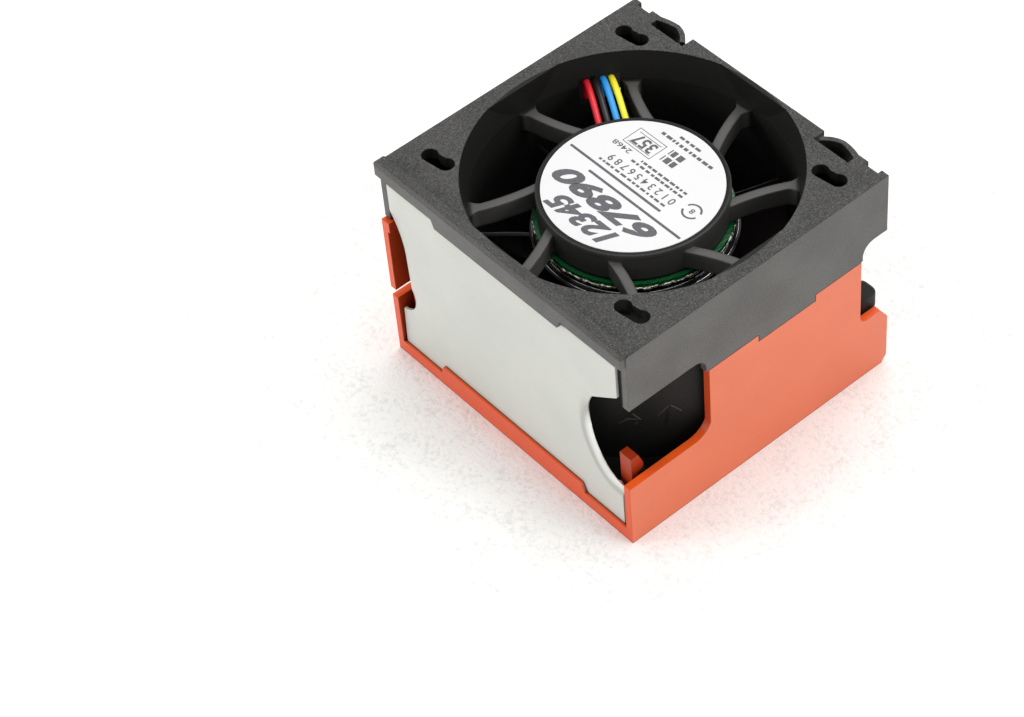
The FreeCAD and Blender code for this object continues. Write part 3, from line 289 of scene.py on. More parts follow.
def black_plastic(settings):
    """Glass-filled PBT, spark-eroded on the exhaust face and smooth inside the duct."""
    material, add = new_material("black_pbt_spark_eroded")
    base = tuple(settings.housing)
    place = add(PLACE, output="Object")
    x = add(SPLIT, [place], "X")
    y, z = x.node.outputs["Y"], x.node.outputs["Z"]
    squares = [add(MATHS, [part, part], operation="MULTIPLY") for part in (x, y)]
    radius = add(MATHS, [add(MATHS, squares, operation="ADD")], operation="SQRT")
    # the outer shell is textured and lighter; the duct, the motor base and the barrel are smooth, and their
    # colour is darkened much further as painted shade
    from_axis = add(MATHS, [x], operation="ABSOLUTE")
    sides = add(RANGE, [from_axis, (SKIRT_SIDE - 0.1) * MM, (SKIRT_SIDE + 0.1) * MM])
    front = add(RANGE, [y, (SKIRT_FRONT + 0.1) * MM, (SKIRT_FRONT - 0.1) * MM])
    face = add(RANGE, [z, (EXHAUST_FACE - 0.2) * MM, (EXHAUST_FACE - 0.05) * MM])
    outside = add(RANGE, [radius, (DUCT_WALL + 0.9) * MM, (DUCT_WALL + 1.2) * MM])
    textured = add(MATHS, [outside, face], operation="MULTIPLY")
    skirts = add(MATHS, [sides, front], operation="MAXIMUM")
    shell = add(MATHS, [skirts, textured], operation="MAXIMUM")
    # grains of the eroded face, and a glint on some of them
    grain = add(NOISE, {"Vector": place, "Scale": 1 / settings.grain, "Detail": 3, "Roughness": 0.6})
    fleck = add("ShaderNodeTexVoronoi", {"Vector": place, "Scale": 1 / (settings.grain * 1.5)}, "Distance")
    glint = add(MATHS, [add(RANGE, [fleck, 0.30, 0.12]), add(RANGE, [grain, 0.46, 0.56])],
                operation="MULTIPLY")
    glint = add(MATHS, [glint, add(RANGE, [textured, 0, 1, 0.04, 0.26])], operation="MULTIPLY")
    cloud = add(NOISE, {"Vector": place, "Scale": scale_of(9), "Detail": 3})
    mottle = add(MATHS, [add(RANGE, [cloud, 0.35, 0.65, 0, 0.3]), add(RANGE, [grain, 0.36, 0.64, 0, 0.7])],
                 operation="ADD")
    smooth = add(MIX, {0: mottle, 6: tint(base, 0.5), 7: tint(base, 1.45)}, 2, data_type="RGBA")
    matt = add(MIX, {0: mottle, 6: tint(base, 0.3), 7: tint(base, 0.85)}, 2, data_type="RGBA")
    outer = add(MIX, {0: textured, 6: smooth, 7: matt}, 2, data_type="RGBA")
    outer = add(MIX, {0: glint, 6: outer, 7: linear("#C4C4C4")}, 2, data_type="RGBA")
    # the struts, between the motor base and the duct, keep a lighter colour as painted light where they catch
    # it; the walls round them get the painted shade
    bars = add(MATHS, [add(RANGE, [radius, (HUB_WALL - 0.2) * MM, (HUB_WALL + 0.2) * MM]),
                       add(RANGE, [radius, (DUCT_WALL - 0.2) * MM, (DUCT_WALL - 0.8) * MM])],
               operation="MULTIPLY")
    bars = add(MATHS, [bars, add(RANGE, [z, 38.8 * MM, 39.2 * MM])], operation="MULTIPLY")
    # painted shade inside the duct and on the barrel, lighter painted colour on the struts
    painted_shade_deep = add(MIX, {0: bars, 6: tint(base, 0.15), 7: tint(base, 0.85)}, 2, data_type="RGBA")
    colour = add(MIX, {0: shell, 6: painted_shade_deep, 7: outer}, 2, data_type="RGBA")
    lustre = add(MATHS, [textured, add(RANGE, [grain, 0.34, 0.66, -0.3, 0.26])], operation="MULTIPLY")
    lit = add(RANGE, [add(MATHS, [shell, bars], operation="MAXIMUM"), 0, 1, 0.16, 0.5])
    lustre = add(MATHS, [lustre, lit], operation="ADD")
    inward = add(RANGE, [radius, DUCT_WALL * MM, (HUB_WALL - 0.1) * MM, 0, 0.06])
    rough = add(MATHS, [add(RANGE, [grain, 0.3, 0.7, 0.40, 0.56]), inward], operation="SUBTRACT")
    # struts are rounder than the outer edges
    rounder = add(MATHS, [add(RANGE, [radius, DUCT_WALL * MM, (DUCT_WALL - 0.6) * MM]),
                          add(RANGE, [z, 43.6 * MM, 43.2 * MM])], operation="MULTIPLY")
    edge = add(RANGE, [rounder, 0, 1, settings.edge_round, settings.edge_round + 0.5 * MM])
    height = add(MATHS, [grain, add(RANGE, [textured, 0, 1, 0.15, 1])], operation="MULTIPLY")
    normal = add(BUMP, {"Height": height, "Distance": 0.36 * MM,
                        "Normal": add(BEVEL, [edge], samples=EDGE_SAMPLES)})
    shader = add(SURFACE, {"Base Color": colour, "Roughness": rough, "Specular IOR Level": lustre,
                           "Normal": normal})
    add(OUTPUT, [shader])
    return material


def orange_plastic(settings):
    """Injection-moulded ABS: satin on the walls, with painted light on the faces that look up and a painted
    deeper red on the faces that look to the front, and painted shade inside the tray and in the slits between
    the pieces."""
    material, add = new_material("orange_abs_satin")
    base = tuple(settings.orange)
    place = add(PLACE, output="Object")
    x = add(SPLIT, [place], "X")
    y, z = x.node.outputs["Y"], x.node.outputs["Z"]
    facing_x = add(SPLIT, [add("ShaderNodeNewGeometry", output="Normal")], "X")
    facing_y, facing_z = facing_x.node.outputs["Y"], facing_x.node.outputs["Z"]
    up = add(RANGE, [facing_z, 0.35, 0.8])
    front = add(RANGE, [facing_y, -0.5, -0.9])
    # inside: within the outer walls, or on a face that looks towards the fan axis; these get painted shade
    within = add(MATHS, [add(RANGE, [add(MATHS, [y], operation="ABSOLUTE"), 31.1 * MM, 30.9 * MM]),
                         add(RANGE, [add(MATHS, [x], operation="ABSOLUTE"), 31.6 * MM, 31.4 * MM])],
                 operation="MULTIPLY")
    within = add(MATHS, [within, add(RANGE, [z, 0.9 * MM, 1.1 * MM])], operation="MULTIPLY")
    outward = add(MATHS, [add(MATHS, [x, facing_x], operation="MULTIPLY"),
                          add(MATHS, [y, facing_y], operation="MULTIPLY")], operation="ADD")
    inside = add(MATHS, [within, add(RANGE, [outward, -6 * MM, -12 * MM])], operation="MAXIMUM")
    slit_shade = add(SHADE_OCCLUSION, {"Distance": 1.6 * MM}, "AO", samples=EDGE_SAMPLES)
    grain = add(NOISE, {"Vector": place, "Scale": scale_of(0.35), "Detail": 3, "Roughness": 0.6})
    cloud = add(RANGE, [add(NOISE, {"Vector": place, "Scale": scale_of(12)}), 0.35, 0.65])
    colour = add(MIX, {0: cloud, 6: tint(base, 0.95, 0.92, 0.9), 7: base}, 2, data_type="RGBA")
    # painted light on faces that look up, a painted deeper red on faces that look to the front, painted shade
    # inside
    for share, other in ((up, tint(base, 1.15, 0.75, 0.3)), (front, tint(base, 0.95, 0.6, 0.45)),
                         (inside, tint(base, 0.5, 0.25, 0.15))):
        colour = add(MIX, {0: share, 6: colour, 7: other}, 2, data_type="RGBA")
    # painted shade in the slits between the pieces, from ambient occlusion
    colour = add(MIX, {0: add(RANGE, [slit_shade, 0.25, 0.6]), 6: tint(base, 0.08, 0.05, 0.05), 7: colour}, 2,
                 data_type="RGBA")
    quiet = add(MATHS, [front, add(MATHS, [up, inside], operation="MAXIMUM")], operation="MAXIMUM")
    normal = add(BUMP, {"Height": grain, "Distance": 0.02 * MM,
                        "Normal": add(BEVEL, [settings.edge_round], samples=EDGE_SAMPLES)})
    shader = add(SURFACE, {"Base Color": colour, "Roughness": add(RANGE, [grain, 0.3, 0.7, 0.30, 0.42]),
                           "Specular IOR Level": add(RANGE, [quiet, 0, 1, 0.8, 0.35]), "Normal": normal})
    add(OUTPUT, [shader])
    return material


def plate_paint(settings):
    """Sheet steel with a light grey satin coat and a few handling marks."""
    material, add = new_material("painted_sheet_steel")
    base = tuple(settings.plate)
    place = add(PLACE, output="Object")
    stretched = add(TURN, {"Vector": place, "Scale": (0.08, 1, 1)})
    brush = add(NOISE, {"Vector": stretched, "Scale": scale_of(0.25), "Detail": 3})
    cloud = add(RANGE, [add(NOISE, {"Vector": place, "Scale": scale_of(14), "Detail": 3}), 0.35, 0.65])
    colour = add(MIX, {0: cloud, 6: tint(base, 0.93, 0.95, 0.95), 7: base}, 2, data_type="RGBA")
    # painted shade in a band before the rolled lip, and a painted highlight along it
    bend = add("ShaderNodeAttribute", output="Fac", attribute_name="bend")
    painted_shade_before_lip = add(MATHS, [add(RANGE, [bend, 0.02, 0.3]), add(RANGE, [bend, 0.62, 0.4])],
                 operation="MULTIPLY")
    shine = add(RANGE, [bend, 0.5, 0.85])
    for share, other in ((painted_shade_before_lip, tint(base, 0.74)), (shine, linear("#F2F2EE"))):
        colour = add(MIX, {0: share, 6: colour, 7: other}, 2, data_type="RGBA")
    # painted shade in the slits round the plate, from ambient occlusion
    slit_shade = add(SHADE_OCCLUSION, {"Distance": 1.0 * MM}, "AO", samples=EDGE_SAMPLES)
    colour = add(MIX, {0: add(RANGE, [slit_shade, 0.4, 0.66]), 6: tint(base, 0.2), 7: colour}, 2,
                 data_type="RGBA")
    scratch = add(RANGE, [brush, 0.66, 0.72, 0, 0.25])
    colour = add(MIX, {0: scratch, 6: colour, 7: linear("#EFEFEC")}, 2, data_type="RGBA")
    shader = add(SURFACE, {"Base Color": colour, "Roughness": add(RANGE, [brush, 0.3, 0.7, 0.30, 0.42]),
                           "Normal": add(BUMP, {"Height": brush, "Distance": 0.008 * MM}),
                           "Coat Weight": 0.15, "Coat Roughness": 0.25})
    add(OUTPUT, [shader])
    return material


def label_film(settings):
    """Matt white polyester film."""
    material, add = new_material("white_polyester_film")
    base = tuple(settings.label)
    place = add(PLACE, output="Object")
    grain = add(NOISE, {"Vector": place, "Scale": scale_of(0.6)})
    cloud = add(RANGE, [add(NOISE, {"Vector": place, "Scale": scale_of(8)}), 0.3, 0.7])
    colour = add(MIX, {0: cloud, 6: tint(base, 0.97), 7: base}, 2, data_type="RGBA")
    shader = add(SURFACE, {"Base Color": colour, "Roughness": add(RANGE, [grain, 0.3, 0.7, 0.38, 0.5]),
                           "Normal": add(BUMP, {"Height": grain, "Distance": 0.006 * MM}),
                           "Coat Weight": 0.2, "Coat Roughness": 0.3})
    add(OUTPUT, [shader])
    return material


def label_ink(settings):
    """Thermal-transfer print, slightly uneven in its density."""
    material, add = new_material("thermal_print")
    base = tuple(settings.ink)
    place = add(PLACE, output="Object")
    density = add(RANGE, [add(NOISE, {"Vector": place, "Scale": scale_of(0.3)}), 0.35, 0.65])
    grain = add(NOISE, {"Vector": place, "Scale": scale_of(0.5)})
    colour = add(MIX, {0: density, 6: tint(base, 0.8), 7: tint(base, 1.25)}, 2, data_type="RGBA")
    shader = add(SURFACE, {"Base Color": colour, "Roughness": add(RANGE, [grain, 0.3, 0.7, 0.5, 0.65])})
    add(OUTPUT, [shader])
    return material


def board_mask(settings):
    """FR-4 board: green solder mask on its faces, pale glass laminate along its edge."""
    material, add = new_material("fr4_solder_mask")
    base = tuple(settings.board)
    place = add(PLACE, output="Object")
    traces = add(WAVES, {"Vector": place, "Scale": scale_of(2.4), "Distortion": 6, "Detail": 1}, "Fac")
    green = add(MIX, {0: add(RANGE, [traces, 0.45, 0.55]), 6: tint(base, 0.7), 7: base}, 2,
                data_type="RGBA")
    rag = add(MATHS, [add(NOISE, {"Vector": place, "Scale": scale_of(0.8)}), 0.5 * MM],
              operation="MULTIPLY")
    ragged = add(MATHS, [add(SPLIT, [place], "Z"), rag], operation="ADD")
    laminate = add(RANGE, [ragged, (BOARD_LOW + 0.65) * MM, (BOARD_LOW + 0.5) * MM])
    colour = add(MIX, {0: laminate, 6: green, 7: linear("#B9B48C")}, 2, data_type="RGBA")
    shader = add(SURFACE, {"Base Color": colour, "Roughness": add(RANGE, [traces, 0.3, 0.7, 0.28, 0.4]),
                           "Normal": add(BUMP, {"Height": traces, "Distance": 0.03 * MM}),
                           "Coat Weight": 0.3, "Coat Roughness": 0.15})
    add(OUTPUT, [shader])
    return material


def bright_solder():
    """Reflowed solder and cut tin: lumpy, bright, with a little flux."""
    material, add = new_material("reflowed_solder")
    place = add(PLACE, output="Object")
    lumps = add(NOISE, {"Vector": place, "Scale": scale_of(0.45), "Detail": 3})
    colour = add(MIX, {0: add(RANGE, [lumps, 0.4, 0.6]), 6: linear("#A39E86"), 7: linear("#FBF8EA")}, 2,
                 data_type="RGBA")
    shader = add(SURFACE, {"Base Color": colour, "Roughness": add(RANGE, [lumps, 0.3, 0.7, 0.18, 0.4]),
                           "Normal": add(BUMP, {"Height": lumps, "Distance": 0.12 * MM}), "Metallic": 0.9})
    add(OUTPUT, [shader])
    return material


def metal(name, dark, light, rough, grain_mm, depth_mm, around_axis=False):
    """A worked metal: colour and roughness vary with the tool marks, grain_mm apart."""
    material, add = new_material(name)
    place = add(PLACE, output="Object")
    if around_axis:
        place = add(TURN, {"Vector": place, "Scale": (0.1, 0.1, 1)})
    grain = add(NOISE, {"Vector": place, "Scale": scale_of(grain_mm), "Detail": 3})
    colour = add(MIX, {0: add(RANGE, [grain, 0.35, 0.65]), 6: linear(dark), 7: linear(light)}, 2,
                 data_type="RGBA")
    normal = add(BUMP, {"Height": grain, "Distance": depth_mm * MM,
                        "Normal": add(BEVEL, [0.1 * MM], samples=EDGE_SAMPLES)})
    shader = add(SURFACE, {"Base Color": colour, "Normal": normal, "Metallic": 1,
                           "Roughness": add(RANGE, [grain, 0.3, 0.7, rough * 0.8, rough * 1.3])})
    add(OUTPUT, [shader])
    return material


def plastic(name, base, rough, grain_mm, depth_mm, edge_mm=0.12, shade=0.85):
    """A moulded plastic or rubber: slightly uneven colour and a fine moulded texture."""
    material, add = new_material(name)
    place = add(PLACE, output="Object")
    grain = add(NOISE, {"Vector": place, "Scale": scale_of(grain_mm), "Detail": 3})
    cloud = add(RANGE, [add(NOISE, {"Vector": place, "Scale": scale_of(grain_mm * 12)}), 0.35, 0.65])
    colour = add(MIX, {0: cloud, 6: tint(base, shade), 7: base}, 2, data_type="RGBA")
    normal = add(BUMP, {"Height": grain, "Distance": depth_mm * MM,
                        "Normal": add(BEVEL, [edge_mm * MM], samples=EDGE_SAMPLES)})
    shader = add(SURFACE, {"Base Color": colour, "Normal": normal,
                           "Roughness": add(RANGE, [grain, 0.3, 0.7, rough * 0.88, rough * 1.12])})
    add(OUTPUT, [shader])
    return material


def copper_turns():
    """Enamelled copper wire, 0.35 mm thick, laid in level turns round each pole."""
    material, add = new_material("enamelled_copper")
    place = add(PLACE, output="Object")
    turns = add(WAVES, {"Vector": place, "Scale": scale_of(0.35 * 20), "Distortion": 0.4}, "Fac",
                bands_direction="Z")
    colour = add(MIX, {0: turns, 6: linear("#6B2E12"), 7: linear("#D0713A")}, 2, data_type="RGBA")
    shader = add(SURFACE, {"Base Color": colour, "Roughness": add(RANGE, [turns, 0, 1, 0.45, 0.3]),
                           "Normal": add(BUMP, {"Height": turns, "Distance": 0.15 * MM}),
                           "Metallic": 0.8, "Coat Weight": 0.5})
    add(OUTPUT, [shader])
    return material


def foam_floor(settings):
    """White foam sheet: closed cells 1 to 2 mm across, with a faint glint."""
    material, add = new_material("white_foam_sheet")
    base = tuple(settings.floor_colour)
    place = add(PLACE, output="Object")
    cells = add(NOISE, {"Vector": place, "Scale": scale_of(1.1), "Detail": 4, "Roughness": 0.7})
    pits = add(NOISE, {"Vector": place, "Scale": scale_of(6), "Detail": 3})
    tone = add(MATHS, [add(MATHS, [cells, 0.7], operation="MULTIPLY"),
                       add(MATHS, [pits, 0.3], operation="MULTIPLY")], operation="ADD")
    colour = add(MIX, {0: add(RANGE, [tone, 0.34, 0.50]), 6: tint(base, 0.82), 7: base}, 2,
                 data_type="RGBA")
    shader = add(SURFACE, {"Base Color": colour, "Roughness": add(RANGE, [cells, 0.3, 0.7, 0.6, 0.8]),
                           "Normal": add(BUMP, {"Height": cells, "Distance": 0.25 * MM}),
                           "Specular IOR Level": 0.25})
    add(OUTPUT, [shader])
    return material


# Finishes by the record's material slot: a maker of the material.
MAKERS = {
    "black_housing": black_plastic,
    "orange_plastic": orange_plastic,
    "plate_metal": plate_paint,
    "label_paper": label_film,
    "label_ink": label_ink,
    "board_green": board_mask,
    "solder": lambda settings: bright_solder(),
    "chip_black": lambda settings: plastic("epoxy_mould", linear("#1A1A1C"), 0.5, 0.2, 0.01),
    "core_steel": lambda settings: metal("zinc_plated_steel", "#8E9092", "#DADCDE", 0.28, 0.5, 0.01, True),
    "insulator_white": lambda settings: plastic("nylon_insulator", linear("#D8D4C4"), 0.5, 0.4, 0.01),
    "winding_copper": lambda settings: copper_turns(),
    "sleeve_brass": lambda settings: metal("turned_brass", "#A88440", "#D9B669", 0.3, 0.2, 0.005, True),
    "bearing_steel": lambda settings: metal("ground_bearing_steel", "#B5B6B8", "#E4E5E6", 0.16, 0.3, 0.002),
    "impeller_black": lambda settings: plastic(
        "black_pbt_smooth", tuple(settings.impeller), 0.36, 0.5, 0.01, edge_mm=0.3, shade=0.7),
    "magnet_dark": lambda settings: plastic("bonded_ferrite", linear("#2C2A29"), 0.6, 0.3, 0.02),
    "wire_red": lambda settings: plastic("pvc_red", linear("#D8202F"), 0.34, 0.8, 0.01, shade=0.88),
    "wire_black": lambda settings: plastic("pvc_black", linear("#1A1819"), 0.34, 0.8, 0.01, shade=0.8),
    "wire_blue": lambda settings: plastic("pvc_blue", linear("#2F98E6"), 0.34, 0.8, 0.01, shade=0.88),
    "wire_yellow": lambda settings: plastic("pvc_yellow", linear("#F2E32E"), 0.34, 0.8, 0.01, shade=0.92),
    "connector_cream": lambda settings: plastic(
        "natural_nylon", linear("#E4DFCC"), 0.42, 0.4, 0.01, edge_mm=0.2),
    "contact_brass": lambda settings: metal("tinned_brass", "#C0A560", "#EBD594", 0.22, 0.3, 0.003),
}


# Materials made so far, by slot.
MADE = {}


def finish(slot):
    """The material of a slot, made when it is first asked for."""
    if slot not in MADE:
        MADE[slot] = MAKERS[slot](bpy.context.scene.fan_finishes)
    return MADE[slot]


# Operators

class FANMODULE_OT_stage(bpy.types.Operator):
    """Make the camera, the floor, the surroundings and the lights"""
    bl_idname = "fanmodule.stage"
    bl_label = "Stage"

    def execute(self, context):
        settings = context.scene.fan_stage
        half = 3
        aim = Vector((0, 0, 0.02))
        context.scene.view_settings.view_transform = "Standard"
        camera = bpy.data.objects.new("camera", bpy.data.cameras.new("camera"))
        context.scene.collection.objects.link(camera)
        camera.location = settings.camera_place
        camera.rotation_euler = settings.camera_turn
        camera.data.lens = settings.lens
        camera.data.sensor_width = 36
        camera.data.clip_start = 0.01
        context.scene.camera = camera
        mesh = bpy.data.meshes.new("floor")
        corners = [(-half, -half, 0), (half, -half, 0), (half, half, 0), (-half, half, 0)]
        mesh.from_pydata(corners, [], [(0, 1, 2, 3)])
        mesh.materials.append(foam_floor(settings))
        floor = bpy.data.objects.new("floor", mesh)
        context.scene.collection.objects.link(floor)
        world = bpy.data.worlds.new("surroundings")
        context.scene.world = world
        world.use_nodes = True
        background = world.node_tree.nodes["Background"]
        background.inputs["Color"].default_value = (1, 1, 1, 1)
        background.inputs["Strength"].default_value = settings.daylight
        # lamps: name, place in metres, size in metres, power in watts
        for name, place, size, power in (
                ("key", (-0.60, -0.82, 0.45), 0.4, 4.2),
                ("side", (0.80, 0.43, 0.58), 0.4, 3.4),
                ("top", (-0.1, 0.35, 1.0), 0.8, 5.6)):
            lamp = bpy.data.objects.new(name, bpy.data.lights.new(name, "AREA"))
            lamp.data.size = size
            lamp.data.energy = power
            lamp.location = place
            lamp.rotation_euler = (aim - lamp.location).to_track_quat("-Z", "Y").to_euler()
            context.scene.collection.objects.link(lamp)
        return {"FINISHED"}


class FANMODULE_OT_finishes(bpy.types.Operator):
    """Give every CAD node the finish of its material slot"""
    bl_idname = "fanmodule.finishes"
    bl_label = "Finishes"

    def execute(self, context):
        for part in frame["record"]["subparts"]:
            node = NODES[part["node"]]
            node.data.materials.clear()
            node.data.materials.append(finish(part["material_slot"]))
        return {"FINISHED"}


class FANMODULE_OT_cover_plate(bpy.types.Operator):
    """Make the sheet-metal cover plate with the rolled lip of its finger notch"""
    bl_idname = "fanmodule.cover_plate"
    bl_label = "Cover plate"

    def execute(self, context):
        """The plate is a grid over height and share of the width between its two side outlines.
        Near the notch it turns back like a quarter of an ellipse, by lip_roll at the edge."""
        settings = context.scene.fan_pieces
        half, top, right_edge, tab_half = PLATE_HALF, 45.15, 30.85, 16.6
        face, sheet_thick, edge_bevel = PLATE_FACE + 0.02, 0.55, 0.1
        height = np.concatenate([np.linspace(PLATE_LOW, 11.6, 10, endpoint=False),
                                 np.linspace(11.6, 13.2, 24, endpoint=False),
                                 np.linspace(13.2, 39, 100, endpoint=False), np.linspace(39, top, 12)])
        # the right outline: a slit beside the carrier, the finger notch, a slit beside the skirt
        notch = spline([(right_edge, PLATE_LOW), (right_edge, 11.9), (right_edge, 12.0), (27.4, 12.3),
                        (24.5, 15.0), (21.9, 20.5), (21.9, 27.5), (23.6, 31.8), (24.3, 32.35), (24.4, 32.4),
                        (right_edge, 37.1), (right_edge, 37.2), (right_edge, top)], 700)
        right = np.interp(height, notch[:, 1], notch[:, 0])
        # the left outline: straight, with two arcs given by their middle and radius
        left = np.interp(height, [PLATE_LOW, 12.5, 20.1, 28.2, 38.4, top],
                         [-half, -31.2, -27.8, -28.2, -half, -half])
        for low, high, middle, centre, radius in ((12.5, 20.1, -32.028, 17.431, 5.0),
                                                  (28.2, 38.4, -46.196, 27.868, 18.0)):
            arc = (height >= low) & (height < high)
            left[arc] = middle + np.sqrt(np.maximum(radius ** 2 - (height[arc] - centre) ** 2, 0))
        share = np.linspace(0, 1, 25)
        share = np.unique(np.concatenate([share[share < 0.87], np.linspace(0.88, 1, 34)]))
        across = left[:, None] + (right - left)[:, None] * share
        level = np.broadcast_to(height[:, None], across.shape)
        edge_line = notch[(notch[:, 1] > 11.9) & (notch[:, 1] < 31)]
        away = np.hypot(across[..., None] - edge_line[:, 0], level[..., None] - edge_line[:, 1])
        nearest = away.argmin(axis=2)
        # full_turn keeps the ellipse short of its upright end
        full_turn = 0.96
        reach = np.clip(1 - away.min(axis=2) / (settings.lip_width / MM), 0, 1) * full_turn
        strength = np.interp(edge_line[nearest, 1], [12, 12.6, 22, 30], [0.8, 1, 1, 0.1])
        turned = (1 - np.sqrt(1 - reach ** 2)) / (1 - math.sqrt(1 - full_turn ** 2))
        back = settings.lip_roll / MM * strength * turned
        sheet = np.stack([across, face + back, level], axis=2)
        tab_x = np.linspace(-tab_half, tab_half, 12)[None, :].repeat(3, axis=0)
        tab_z = np.linspace(top, PLATE_HIGH, 3)[:, None].repeat(12, axis=1)
        tab = np.stack([tab_x, np.full_like(tab_x, face), tab_z], axis=2)
        plate = piece_from_grids("cover_sheet", "casing", finish("plate_metal"), [sheet, tab])
        # the bend also drives the painted shade and painted highlight in the plate's colour
        bend = np.concatenate([(reach * strength).ravel(), np.zeros(tab_x.size)])
        plate.data.attributes.new("bend", "FLOAT", "POINT").data.foreach_set("value", bend)
        outward = plate.data.polygons[0].normal
        wall = plate.modifiers.new("thickness", "SOLIDIFY")
        wall.thickness = sheet_thick * MM
        wall.offset = -1 if outward.y < 0 else 1
        bevel = plate.modifiers.new("edges", "BEVEL")
        bevel.width = edge_bevel * MM
        bevel.segments = 2
        bevel.limit_method = "ANGLE"
        bevel.angle_limit = math.radians(60)
        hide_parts("cover_plate")
        return {"FINISHED"}


class FANMODULE_OT_leads(bpy.types.Operator):
    """Make the four round leads from the motor base to the plug"""
    bl_idname = "fanmodule.leads"
    bl_label = "Leads"

    def execute(self, context):
        """Each lead is a circle carried along a quadratic spline through its route's points."""
        radius = context.scene.fan_pieces.lead_size / MM / 2
        hub, inset, wall = 17.8, 12, 31.675
        crest, level = 44.5, 42.6
        up = np.array([0, 0, 1.0])
        # lead: colour, its angles at the motor base and at the duct wall, and its place in the plug
        for colour, exit_angle, drop_angle, rank in (
                ("red", 157.5, 154.6, 0), ("black", 152.0, 151.7, 1),
                ("blue", 146.3, 148.8, 2), ("yellow", 141.0, 145.9, 3)):
            inner = np.array([math.cos(math.radians(exit_angle)), math.sin(math.radians(exit_angle)), 0])
            outer = np.array([math.cos(math.radians(drop_angle)), math.sin(math.radians(drop_angle)), 0])
            leave, arrive = inner * hub, outer * wall
            reach = np.linalg.norm(arrive - leave)
            run = (arrive - leave) / reach
            low = PLUG_LOW + 1.4 + rank * 1.55
            begin = leave - run * (hub - inset)
            route = [begin + up * BOARD_HIGH, begin + up * level, leave + run * 1.2 + up * level,
                     leave + run * reach * 0.55 + up * crest, arrive + up * (crest - 0.6),
                     arrive + up * (crest - 5), arrive + up * (low + 4), arrive + up * low,
                     np.array([arrive[0], PLUG_FRONT + 0.3, low])]
            path = spline(route, 160)
            lead = piece_from_grids("lead_" + colour, "casing", finish("wire_" + colour),
                                    [tube(path, radius, 20)], loop_columns=True, cap=True)
            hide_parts("wire_" + colour)
        return {"FINISHED"}


class FANMODULE_OT_hub_rim(bpy.types.Operator):
    """Make the rounded rim of the motor base round its label"""
    bl_idname = "fanmodule.hub_rim"
    bl_label = "Motor base rim"

    def execute(self, context):
        """A crowned profile turned about the fan axis: height falls as the square of the distance
        from the middle of the rim, more steeply outwards."""
        settings = context.scene.fan_pieces
        inner = LABEL_RADIUS + 0.12
        outer = inner + settings.rim_width / MM
        crown = np.linspace(0, np.pi, 13)
        middle, half = (inner + outer) / 2, (outer - inner) / 2
        profile = [(middle - half * math.cos(t), HUB_TOP - 0.12 + 0.3 * math.sin(t)) for t in crown]
        profile += [(outer, HUB_TOP - 0.9), (inner, HUB_TOP - 0.4)]
        rim = piece_from_grids("motor_base_rim", "casing", finish("black_housing"),
                               [turned_profile(profile, settings.around)], True, True)
        return {"FINISHED"}


